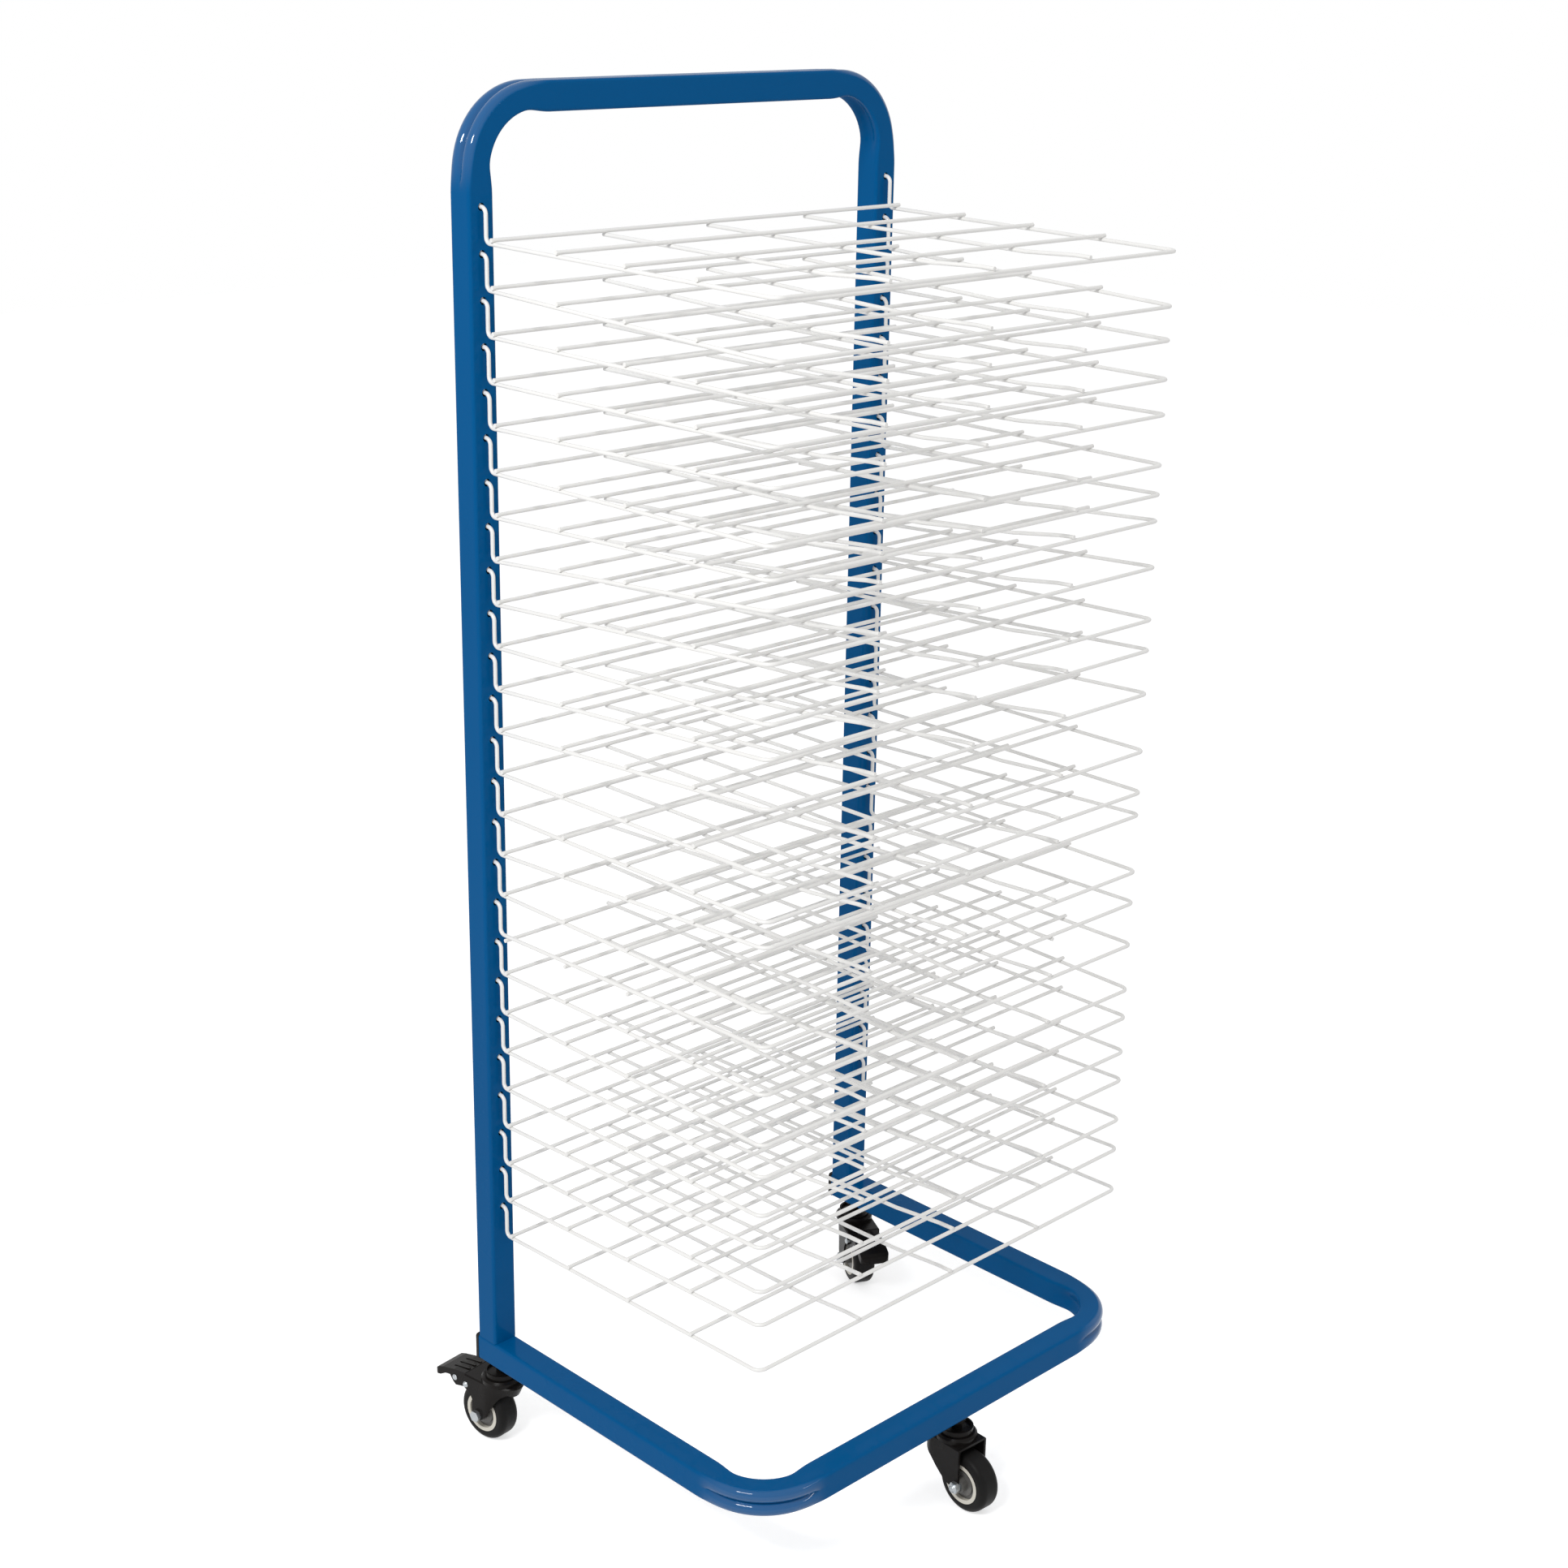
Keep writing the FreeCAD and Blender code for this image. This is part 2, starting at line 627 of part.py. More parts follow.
def lathe(body, name, corners, axis="V_Axis"):
    """Turn a half section (radius, height) about the body's Z axis."""
    section = new_sketch(body, name + "Section", "XZ_Plane")
    formula_outline(section, corners)
    doc.recompute()
    turned = body.newObject("PartDesign::Revolution", name)
    turned.Profile = section
    turned.ReferenceAxis = (section, [axis])
    turned.Angle = 360
    doc.recompute()
    return turned


def groove_ring(body, name, radius_formula, height_formula, ball_formula):
    """Cut the round ball track out of a race."""
    section = new_sketch(body, name + "Section", "XZ_Plane")
    spot = Vector(value_of(radius_formula), value_of(height_formula), 0)
    ball = value_of(ball_formula)
    ring = section.addGeometry(Part.Circle(spot, Vector(0, 0, 1), ball))
    hold(section, "DistanceX", ring, 3, spot.x, radius_formula)
    hold(section, "DistanceY", ring, 3, spot.y, height_formula)
    radius = section.addConstraint(Sketcher.Constraint("Radius", ring, ball))
    bind(section, "Constraints[%d]" % radius, ball_formula)
    doc.recompute()
    track = body.newObject("PartDesign::Groove", name)
    track.Profile = section
    track.ReferenceAxis = (section, ["V_Axis"])
    track.Angle = 360
    doc.recompute()
    return track


def hexagon(body, name, across_formula, height_formula, upward):
    """Pad a hexagon of the given width across flats from the body's own XY plane."""
    section = new_sketch(body, name + "Section", "XY_Plane")
    across = value_of(across_formula)
    reach = across / 2 / math.cos(math.radians(30))
    corners = []
    for number in range(6):
        angle = math.radians(30 + 60 * number)
        corners.append(Vector(reach * math.cos(angle), reach * math.sin(angle), 0))
    for number in range(6):
        section.addGeometry(Part.LineSegment(corners[number], corners[(number + 1) % 6]))
    for number in range(6):
        section.addConstraint(Sketcher.Constraint("Coincident", number, 2, (number + 1) % 6, 1))
    for number in range(1, 6):
        section.addConstraint(Sketcher.Constraint("Equal", 0, number))
    circle = section.addGeometry(Part.Circle(Vector(0, 0, 0), Vector(0, 0, 1), reach), True)
    section.addConstraint(Sketcher.Constraint("Coincident", circle, 3, -1, 1))
    for number in range(6):
        section.addConstraint(Sketcher.Constraint("PointOnObject", number, 1, circle))
    section.addConstraint(Sketcher.Constraint("Vertical", 5))
    width = section.addConstraint(Sketcher.Constraint("DistanceX", -1, 1, 5, 1, across / 2))
    bind(section, "Constraints[%d]" % width, "(%s)/2" % across_formula)
    doc.recompute()
    block = body.newObject("PartDesign::Pad", name)
    block.Profile = section
    block.Reversed = not upward
    bind(block, "Length", height_formula)
    doc.recompute()
    return block


def round_hole(body, name, role, x_formula, y_formula, diameter_formula, depth_formula, through):
    """Cut a round hole; through cuts both ways from the sketch, otherwise against its normal."""
    section = new_sketch(body, name + "Section", role)
    centre = Vector(value_of(x_formula), value_of(y_formula), 0)
    ring = section.addGeometry(Part.Circle(centre, Vector(0, 0, 1), value_of(diameter_formula) / 2))
    hold(section, "DistanceX", ring, 3, centre.x, x_formula)
    hold(section, "DistanceY", ring, 3, centre.y, y_formula)
    across = value_of(diameter_formula)
    diameter = section.addConstraint(Sketcher.Constraint("Diameter", ring, across))
    bind(section, "Constraints[%d]" % diameter, diameter_formula)
    doc.recompute()
    hole = body.newObject("PartDesign::Pocket", name)
    hole.Profile = section
    hole.Midplane = through
    bind(hole, "Length", depth_formula)
    doc.recompute()
    return hole


def caster_place(place):
    """The caster's own frame: origin on the tube's underside, +Y the way the wheel trails."""
    x, y = stem_places()[place]
    turn = Rotation(Vector(0, 0, 1), size("turn_" + place))
    return Placement(Vector(x, y, size("caster_height")), turn)


def trail_of(place):
    """How far the wheel trails its stem; the unbraked front fork is a different pressing."""
    return "{front_trail}" if place == "front" else "{caster_trail}"


def axle_place(place):
    """The wheel's own frame: origin at the wheel centre, Z along the axle."""
    drop = size("caster_height") - size("wheel_size") / 2
    local = Placement(Vector(0, value_of(trail_of(place)), -drop), Rotation(Vector(0, 1, 0), 90))
    return caster_place(place).multiply(local)


AXLE_DROP = "({caster_height} - {wheel_size}/2)"
CROWN_UNDER = "({crown_drop} + {fork_plate})"
INNER_WIDTH = "({fork_width} - 2*{fork_plate})"
RACE_TOP = "({cup_bottom} + {race_gap})"
BALL_LEVEL = "({cup_bottom} + {race_gap}/2)"


def make_stem(place):
    """Threaded stem, hex collar, swivel cup and the kingpin whose head carries the fork."""
    body = doc.addObject("PartDesign::Body", "Stem_" + place)
    hexagon(body, "Collar", "{collar_flats}", "0.65*{cup_top}", False)
    pin_end = "-%s - {pin_play} - {kingpin_head_thick}" % CROWN_UNDER
    head = "-%s - {pin_play}" % CROWN_UNDER
    lathe(body, "StemAndCup", [
        ("0", "{stem_rise}"),
        ("{stem_size}/2 - 1", "{stem_rise}"),
        ("{stem_size}/2", "{stem_rise} - 1"),
        ("{stem_size}/2", "0"),
        ("{stem_size}/2 + 1", "0"),
        ("{stem_size}/2 + 1", "-{cup_floor}"),
        ("{cup_size}/2 - {cup_wall}", "-{cup_floor}"),
        ("{cup_size}/2 - {cup_wall}", "-{cup_top}"),
        ("{cup_size}/2", "-{cup_top}"),
        ("{cup_size}/2", "-{cup_bottom}"),
        ("{kingpin_size}/2", "-{cup_bottom}"),
        ("{kingpin_size}/2", head),
        ("{kingpin_head}/2", head),
        ("{kingpin_head}/2 - 1.2", pin_end),
        ("0", pin_end)])
    groove_ring(body, "BallTrack", "{ball_circle}/2", "-%s" % BALL_LEVEL,
                "{ball_size}/2 + {ball_fit}")
    body.Placement = caster_place(place)
    return finish_node(body, place + "_stem")


def make_balls(place):
    """The ring of steel balls between the swivel cup and the fork's raceway."""
    balls = []
    count = int(size("ball_count"))
    for number in range(count):
        ball = doc.addObject("Part::Sphere", "Ball_%s_%d" % (place, number + 1))
        bind(ball, "Radius", "{ball_size}/2")
        angle = 2 * math.pi * number / count
        ring = size("ball_circle") / 2
        level = -size("cup_bottom") - size("race_gap") / 2
        spot = Vector(ring * math.cos(angle), ring * math.sin(angle), level)
        ball.Placement = Placement(spot, Rotation())
        balls.append(ball)
    group = doc.addObject("Part::Compound", "Balls_" + place)
    group.Links = balls
    group.Placement = caster_place(place)
    return finish_node(group, place + "_swivel_balls")


def fork_plan(body, name, level_formula, lead_formula, inset_formula, tail_formula, bow_sizes):
    """A level outline of the fork: square tail, straight cheeks, then a bow that ends in a nose."""
    level, inset, tail = value_of(level_formula), value_of(inset_formula), value_of(tail_formula)
    half = size("fork_width") / 2 - inset
    lead = value_of(lead_formula) - inset
    shoulder_formula, nose_formula = bow_sizes
    nose, shoulder = value_of(nose_formula) - inset, value_of(shoulder_formula)
    section = new_sketch(body, name, "XY_Plane", Placement(Vector(0, 0, -level), Rotation()))
    reach = shoulder + lead - nose
    bow = (half * half + reach * reach - nose * nose) / (2 * half - 2 * nose)
    swing = math.atan2(abs(reach), abs(bow - half))
    up = Vector(0, 0, 1)
    right = Part.Circle(Vector(half - bow, shoulder, 0), up, bow)
    left = Part.Circle(Vector(bow - half, shoulder, 0), up, bow)
    front = Part.Circle(Vector(0, nose - lead, 0), up, nose)
    section.addGeometry(Part.LineSegment(Vector(-half, tail, 0), Vector(half, tail, 0)))
    section.addGeometry(Part.LineSegment(Vector(half, tail, 0), Vector(half, shoulder, 0)))
    section.addGeometry(Part.ArcOfCircle(right, -swing, 0))
    section.addGeometry(Part.ArcOfCircle(front, math.pi + swing, 2 * math.pi - swing))
    section.addGeometry(Part.ArcOfCircle(left, math.pi, math.pi + swing))
    section.addGeometry(Part.LineSegment(Vector(-half, shoulder, 0), Vector(-half, tail, 0)))
    section.addConstraint(Sketcher.Constraint("Coincident", 0, 2, 1, 1))
    section.addConstraint(Sketcher.Constraint("Tangent", 1, 2, 2, 2))
    section.addConstraint(Sketcher.Constraint("Tangent", 2, 1, 3, 2))
    section.addConstraint(Sketcher.Constraint("Tangent", 3, 1, 4, 2))
    section.addConstraint(Sketcher.Constraint("Tangent", 4, 1, 5, 1))
    section.addConstraint(Sketcher.Constraint("Coincident", 5, 2, 0, 1))
    section.addConstraint(Sketcher.Constraint("Horizontal", 0))
    section.addConstraint(Sketcher.Constraint("Vertical", 1))
    section.addConstraint(Sketcher.Constraint("Vertical", 5))
    radius = section.addConstraint(Sketcher.Constraint("Radius", 3, nose))
    bind(section, "Constraints[%d]" % radius, "%s - %s" % (nose_formula, inset_formula))
    half_formula = "{fork_width}/2 - %s" % inset_formula
    hold(section, "DistanceX", 0, 2, half, half_formula)
    hold(section, "DistanceX", 0, 1, -half, "-(%s)" % half_formula)
    hold(section, "DistanceY", 0, 2, tail, tail_formula)
    hold(section, "DistanceY", 1, 2, shoulder, shoulder_formula)
    hold(section, "DistanceY", 5, 1, shoulder, shoulder_formula)
    hold(section, "DistanceY", 3, 3, nose - lead, "%s - (%s)" % (nose_formula, lead_formula))
    section.addConstraint(Sketcher.Constraint("PointOnObject", 3, 3, -2))
    bind(section, "AttachmentOffset.Base.z", "-(%s)" % level_formula)
    doc.recompute()
    return section


def loft_down(body, kind, name, upper, lower):
    """Join two level outlines of the fork with straight rulings."""
    loft = body.newObject("PartDesign::" + kind, name)
    loft.Profile = (upper, [""])
    loft.Sections = [(lower, [""])]
    loft.Ruled = True
    doc.recompute()
    return loft


def cheek_outline(place, braked):
    """What the press cuts away below the crown, seen from the side."""
    trail = trail_of(place)
    axle, eye, crown = "-" + AXLE_DROP, "{fork_eye}", "-{crown_drop}"
    if braked:
        lead, tail = "-{fork_lead}", "{fork_tail_brake}"
        corners = [(lead + " - 4", crown + " - 10.8"), (lead + " + 5.5", crown + " - 10.8"),
                   (lead + " + 8.9", crown + " - 8.4"), ("-9.9", crown + " - 12"),
                   ("-5.5", crown + " - 17.3"), ("-1.5", crown + " - 23.4"),
                   (trail + " - 14.5", axle + " + 8.2"), (trail + " - 11", axle + " + 1.5")]
    else:
        lead, tail = "-{front_lead}", "{fork_tail_plain}"
        corners = [(lead + " - 4", crown + " - 12.3"), (lead + " + 1", crown + " - 12.3"),
                   (lead + " + 3.5", crown + " - 15.1"), ("-14.4", crown + " - 21.5"),
                   ("-7.4", crown + " - 28.9"), (trail + " - 19.4", axle + " + 3.2"),
                   (trail + " - 12.5", axle + " - 1")]
    corners += [(trail + " - 0.85*" + eye, axle + " - 0.6*" + eye),
                (trail + " - 0.4*" + eye, axle + " - 0.95*" + eye),
                (trail + " + 0.4*" + eye, axle + " - 0.95*" + eye),
                (trail + " + 0.85*" + eye, axle + " - 0.6*" + eye),
                (trail + " + 6.6", axle + " + 3")]
    if braked:
        ear, level = "{pedal_pivot_out}", "-{pedal_pivot_drop}"
        corners += [(trail + " + 6", "-45.1"), ("26", "-38.6"),
                    (ear + " + 0.6", level + " - 4"), (ear + " + 3.4", level + " - 2.4"),
                    (ear + " + 3.8", level + " + 0.6"), (ear + " + 1.8", level + " + 4"),
                    (tail, crown + " - 5"), (tail, crown + " + 3")]
    else:
        corners += [("24.5", "-49.3"), ("22.6", "-35.7"), (tail, crown + " - 2"),
                    (tail, crown + " + 3")]
    low = axle + " - 12"
    corners += [(tail + " + 8", crown + " + 3"), (tail + " + 8", low), (lead + " - 4", low)]
    return corners


def make_fork(place, braked):
    """Pressed fork: crown plate with a raised raceway, slanted leading skirt and two cheeks."""
    body = doc.addObject("PartDesign::Body", "Fork_" + place)
    tail = "{fork_tail_brake}" if braked else "{fork_tail_plain}"
    plate, none = "{fork_plate}", "0*{fork_plate}"
    lead, low, bow = "{fork_lead}", "{fork_lead_low}", ("{fork_shoulder}", "{fork_nose}")
    if not braked:
        lead, low, bow = "{front_lead}", "{front_lead}", ("{front_shoulder}", "{front_nose}")
    slope = "(%s - %s)/({fork_knee} - {crown_drop})" % (lead, low)
    below = AXLE_DROP + " + {fork_eye} - {fork_knee}"
    crown = fork_plan(body, "CrownOutline", "{crown_drop}", lead, "{fork_crown_bend}", tail, bow)
    brow = "(%s - {fork_crown_bend}*%s)" % (lead, slope)
    edge = fork_plan(body, "CrownEdge", "({crown_drop} + {fork_crown_bend})", brow, none, tail, bow)
    knee = fork_plan(body, "KneeOutline", "{fork_knee}", low, none, tail, bow)
    loft_down(body, "AdditiveLoft", "CrownBend", crown, edge)
    loft_down(body, "AdditiveLoft", "ForkSkirt", edge, knee)
    block = body.newObject("PartDesign::Pad", "ForkLegs")
    block.Profile = knee
    block.Reversed = True
    bind(block, "Length", below)
    doc.recompute()
    under = "(%s - {fork_plate}*%s)" % (lead, slope)
    beyond = tail + " + 5"
    roof = fork_plan(body, "CrownHollow", CROWN_UNDER, under, plate, beyond, bow)
    waist = fork_plan(body, "KneeHollow", "{fork_knee}", low, plate, beyond, bow)
    loft_down(body, "SubtractiveLoft", "SkirtHollow", roof, waist)
    hollow = body.newObject("PartDesign::Pocket", "LegHollow")
    hollow.Profile = waist
    bind(hollow, "Length", below + " + 5")
    doc.recompute()
    side = new_sketch(body, "CheekCut", "YZ_Plane")
    formula_outline(side, cheek_outline(place, braked))
    doc.recompute()
    cut = body.newObject("PartDesign::Pocket", "CheekShape")
    cut.Profile = side
    cut.Midplane = True
    bind(cut, "Length", "{fork_width} + 10")
    doc.recompute()
    lathe(body, "Raceway", [
        ("{ball_circle}/2 - 4", "-{crown_drop} - 0.5"),
        ("{ball_circle}/2 - 4", "-%s" % RACE_TOP),
        ("{race_size}/2 - 1.8", "-%s" % RACE_TOP),
        ("{race_size}/2", "-%s - 1.8" % RACE_TOP),
        ("{race_size}/2", "-{crown_drop}"),
        ("{race_size}/2 - 4", "-{crown_drop} - 0.5")])
    groove_ring(body, "BallTrack", "{ball_circle}/2", "-%s" % BALL_LEVEL,
                "{ball_size}/2 + {ball_fit}")
    round_hole(body, "KingpinHole", "XY_Plane", "0", "0", "{kingpin_size} + 2*{ball_fit}",
               "%s + 2" % CROWN_UNDER, False)
    round_hole(body, "AxleHole", "YZ_Plane", trail_of(place), "-" + AXLE_DROP,
               "{axle_size} + 2*{axle_fit}", "{fork_width} + 10", True)
    if braked:
        round_hole(body, "PivotHole", "YZ_Plane", "{pedal_pivot_out}", "-{pedal_pivot_drop}",
                   "{rivet_size}", "{fork_width} + 10", True)
    body.Placement = caster_place(place)
    return finish_node(body, place + "_fork")


def make_tyre(place):
    """Soft black tyre with rounded shoulders, seated between the hub's two flanges."""
    body = doc.addObject("PartDesign::Body", "Tyre_" + place)
    seat, lip = "({hub_size}/2 - 2)", "({wheel_width}/2 - 3)"
    tread = lathe(body, "Tyre", [
        (seat, lip), ("{hub_size}/2", lip), ("{hub_size}/2", "{wheel_width}/2"),
        ("{wheel_size}/2", "{wheel_width}/2"), ("{wheel_size}/2", "-{wheel_width}/2"),
        ("{hub_size}/2", "-{wheel_width}/2"), ("{hub_size}/2", "-%s" % lip), (seat, "-%s" % lip)])
    shoulders = []
    for number, edge in enumerate(tread.Shape.Edges, start=1):
        round_edge = hasattr(edge.Curve, "Radius")
        if round_edge and abs(edge.Curve.Radius - size("wheel_size") / 2) < 1e-6:
            shoulders.append("Edge%d" % number)
    soft = body.newObject("PartDesign::Fillet", "Shoulders")
    soft.Base = (tread, shoulders)
    bind(soft, "Radius", "{tyre_shoulder}")
    doc.recompute()
    body.Placement = axle_place(place)
    return finish_node(body, place + "_tyre")


def make_hub(place):
    """Moulded hub with a bright outer ring, stepped disc and a long bore boss."""
    body = doc.addObject("PartDesign::Body", "Hub_" + place)
    bore = "({sleeve_size}/2 + {sleeve_fit})"
    boss_end = "(%s/2 - {hub_side_gap})" % INNER_WIDTH
    face, lip = "({wheel_width}/2 + 0.2)", "({wheel_width}/2 - 3)"
    ring = "({hub_size}/2 - {hub_rim})"
    half = [
        (bore, boss_end), ("{hub_boss}/2", boss_end), ("{hub_boss}/2", face + " - 2"),
        ("%s - 3.6" % ring, face + " - 2"), ("%s - 3.6" % ring, face + " - {hub_step}"),
        (ring, face + " - {hub_step}"), (ring, face), ("{hub_size}/2", face),
        ("{hub_size}/2", lip), ("{hub_size}/2 - 2", lip)]
    mirrored = [(x, "-(%s)" % y) for x, y in reversed(half)]
    lathe(body, "Hub", half + mirrored)
    body.Placement = axle_place(place)
    return finish_node(body, place + "_hub")


def make_sleeve(place):
    """Steel bearing sleeve clamped between the cheeks; the hub turns on it."""
    body = doc.addObject("PartDesign::Body", "Sleeve_" + place)
    end = "(%s/2)" % INNER_WIDTH
    bore = "({axle_size}/2 + {axle_fit})"
    lathe(body, "Sleeve", [(bore, end), ("{sleeve_size}/2", end),
                           ("{sleeve_size}/2", "-" + end), (bore, "-" + end)])
    body.Placement = axle_place(place)
    return finish_node(body, place + "_axle_sleeve")


def make_axle_bolt(place):
    """Hexagon-headed axle bolt through both cheeks and the sleeve."""
    body = doc.addObject("PartDesign::Body", "Axle_" + place)
    hexagon(body, "Head", "{axle_flats}", "{axle_head}", False)
    end = "{fork_width} + {axle_head} + {axle_end}"
    lathe(body, "Shank", [("0", "-{axle_head}/2"), ("{axle_size}/2", "-{axle_head}/2"),
                          ("{axle_size}/2", end + " - 0.8"), ("{axle_size}/2 - 0.8", end), ("0", end)])
    local = Placement(Vector(0, 0, -size("fork_width") / 2), Rotation())
    body.Placement = axle_place(place).multiply(local)
    return finish_node(body, place + "_axle_bolt")


def make_axle_nut(place):
    """Self-locking hexagon nut on the end of the axle bolt, with its rounded collar."""
    body = doc.addObject("PartDesign::Body", "Nut_" + place)
    hexagon(body, "Nut", "{axle_flats}", "{axle_head}", True)
    lathe(body, "Collar", [
        ("0", "{axle_head}/2"), ("{axle_flats}/2 - 0.5", "{axle_head}/2"),
        ("{axle_flats}/2 - 0.5", "{axle_head} + 0.4*{nut_collar}"),
        ("{axle_flats}/2 - 1.2", "{axle_head} + {nut_collar}"), ("0", "{axle_head} + {nut_collar}")])
    round_hole(body, "Thread", "XY_Plane", "0", "0", "{axle_size} + 0.1", "4*{axle_head}", True)
    local = Placement(Vector(0, 0, size("fork_width") / 2), Rotation())
    body.Placement = axle_place(place).multiply(local)
    return finish_node(body, place + "_axle_nut")


def round_pedal_corners(body, wide, tip):
    """Round the two outer corners of the pedal's lip."""
    corner = "{pedal_corner}"
    for side, sign in ((-1, "-"), (1, "")):
        section = new_sketch(body, "LipCorner%d" % (side + 1), "XY_Plane")
        edge, end, bend = value_of(wide) / 2, value_of(tip), size("pedal_corner")
        inner, outer = side * (edge - bend), side * (edge + 2)
        first, last = Vector(inner, end, 0), Vector(side * edge, end - bend, 0)
        hub = Part.Circle(Vector(inner, end - bend, 0), Vector(0, 0, 1), bend)
        begin = 0 if side > 0 else math.pi / 2
        section.addGeometry(Part.ArcOfCircle(hub, begin, begin + math.pi / 2))
        section.addGeometry(Part.LineSegment(last, Vector(outer, end - bend, 0)))
        section.addGeometry(Part.LineSegment(Vector(outer, end - bend, 0), Vector(outer, end + 2, 0)))
        section.addGeometry(Part.LineSegment(Vector(outer, end + 2, 0), Vector(inner, end + 2, 0)))
        section.addGeometry(Part.LineSegment(Vector(inner, end + 2, 0), first))
        start, finish = (1, 2) if side > 0 else (2, 1)
        section.addConstraint(Sketcher.Constraint("Coincident", 0, start, 1, 1))
        for number in range(1, 4):
            section.addConstraint(Sketcher.Constraint("Coincident", number, 2, number + 1, 1))
        section.addConstraint(Sketcher.Constraint("Tangent", 4, 2, 0, finish))
        section.addConstraint(Sketcher.Constraint("Horizontal", 1))
        section.addConstraint(Sketcher.Constraint("Vertical", 2))
        section.addConstraint(Sketcher.Constraint("Horizontal", 3))
        hold(section, "DistanceX", 0, 3, inner, "%s(%s/2 - %s)" % (sign, wide, corner))
        hold(section, "DistanceY", 0, 3, end - bend, "%s - %s" % (tip, corner))
        radius = section.addConstraint(Sketcher.Constraint("Radius", 0, bend))
        bind(section, "Constraints[%d]" % radius, corner)
        hold(section, "DistanceX", 2, 2, outer, "%s(%s/2 + 2)" % (sign, wide))
        hold(section, "DistanceY", 2, 2, end + 2, "%s + 2" % tip)
        doc.recompute()
        cut = body.newObject("PartDesign::Pocket", "LipCornerCut%d" % (side + 1))
        cut.Profile = section
        cut.Midplane = True
        bind(cut, "Length", "3*{pedal_pivot_drop}")
        doc.recompute()


def add_pedal_ribs(body, start, top, tip):
    """Three stiffening ribs along the pedal's top plate."""
    rise = "{pedal_rib_rise}"
    for number in (-1, 0, 1):
        section = new_sketch(body, "RibSection%d" % (number + 1), "YZ_Plane",
                             Placement(Vector(0, 0, number * size("pedal_rib_pitch")), Rotation()))
        bind(section, "AttachmentOffset.Base.z", "%d*{pedal_rib_pitch}" % number)
        formula_outline(section, [
            (start + " + 1", top + " - 0.5"), (start + " + 2", top + " + " + rise),
            (tip + " - 22", top + " - 3.1 + " + rise), (tip + " - 18", top + " - 5")])
        doc.recompute()
        rib = body.newObject("PartDesign::Pad", "Rib%d" % (number + 1))
        rib.Profile = section
        rib.Midplane = True
        bind(rib, "Length", "{pedal_rib}")
        doc.recompute()


def make_pedal(place):
    """Pressed brake pedal: ribbed plate, flared lip, two side flanges and the brake tongue."""
    body = doc.addObject("PartDesign::Body", "Pedal_" + place)
    wide = "(%s - 2*{pedal_side_gap})" % INNER_WIDTH
    plate, top, tip = "{pedal_plate}", "-{pedal_top}", "{pedal_reach}"
    pivot_y, pivot_z = "{pedal_pivot_out}", "-{pedal_pivot_drop}"
    start = "{fork_tail_brake} + 1"
    section = new_sketch(body, "TopSection", "YZ_Plane")
    formula_outline(section, [
        (start, top), (tip + " - 27", top + " - 2"), (tip + " - 12", top + " - 5.2"),
        (tip + " - 6", top + " - 7.2"), (tip + " - 2.5", top + " - 9.8"),
        (tip, top + " - 13.2"), (tip, top + " - 16"), (tip + " - 2", top + " - 16"),
        (tip + " - 2.3", top + " - 13.6"), (tip + " - 4.2", top + " - 11.4"),
        (tip + " - 7.2", top + " - 9.2"), (tip + " - 13", top + " - 7.2"),
        (tip + " - 27", top + " - 2 - " + plate), (start, top + " - " + plate)])
    doc.recompute()
    sheet_pad = body.newObject("PartDesign::Pad", "TopPlate")
    sheet_pad.Profile = section
    sheet_pad.Midplane = True
    bind(sheet_pad, "Length", wide)
    doc.recompute()
    add_pedal_ribs(body, start, top, tip)
    for side, sign in (("Left", "-"), ("Right", "")):
        offset = Placement(Vector(0, 0, 0), Rotation())
        flange = new_sketch(body, side + "FlangeSection", "YZ_Plane", offset)
        centre = "%s(%s/2 - %s/2)" % (sign, wide, plate)
        bind(flange, "AttachmentOffset.Base.z", centre)
        formula_outline(flange, [
            (start, top + " - 0.6"), (tip + " - 27", top + " - 2.6"), (tip + " - 12", top + " - 5.8"),
            (tip + " - 6", top + " - 8"), (tip + " - 3", top + " - 11.5"),
            (tip + " - 1.5", top + " - 15.8"), (tip + " - 5", top + " - 15.6"),
            (tip + " - 8.9", top + " - 14.6"), (tip + " - 15.5", top + " - 10.8"),
            (tip + " - 21.4", top + " - 9.8"), (tip + " - 25.5", top + " - 15.5"),
            (tip + " - 29", top + " - 18.1"),
            (pivot_y + " + 5", pivot_z + " - 5.2"), (pivot_y, pivot_z + " - 6.5"),
            (pivot_y + " - 4.6", pivot_z + " - 3"), (pivot_y + " - 4.6", pivot_z + " + 1.5"),
            (pivot_y + " - 1", pivot_z + " + 5"), (start, top + " - 3")])
        doc.recompute()
        wing = body.newObject("PartDesign::Pad", side + "Flange")
        wing.Profile = flange
        wing.Midplane = True
        bind(wing, "Length", plate)
        doc.recompute()
    round_pedal_corners(body, wide, tip)
    tongue = new_sketch(body, "TongueSection", "YZ_Plane")
    formula_outline(tongue, [
        (pivot_y + " + 6.2", top + " - 0.5"), (pivot_y + " + 8.7", top + " - 0.5"),
        (pivot_y + " + 8.7", pivot_z + " - 6"), (pivot_y + " + 6.2", pivot_z + " - 4")])
    doc.recompute()
    shoe = body.newObject("PartDesign::Pad", "BrakeTongue")
    shoe.Profile = tongue
    shoe.Midplane = True
    bind(shoe, "Length", "{wheel_width} - 6")
    doc.recompute()
    round_hole(body, "PivotHole", "YZ_Plane", pivot_y, pivot_z, "{rivet_size} + 2*{pin_fit}",
               "{fork_width}", True)
    body.Placement = caster_place(place)
    return finish_node(body, place + "_brake_pedal")


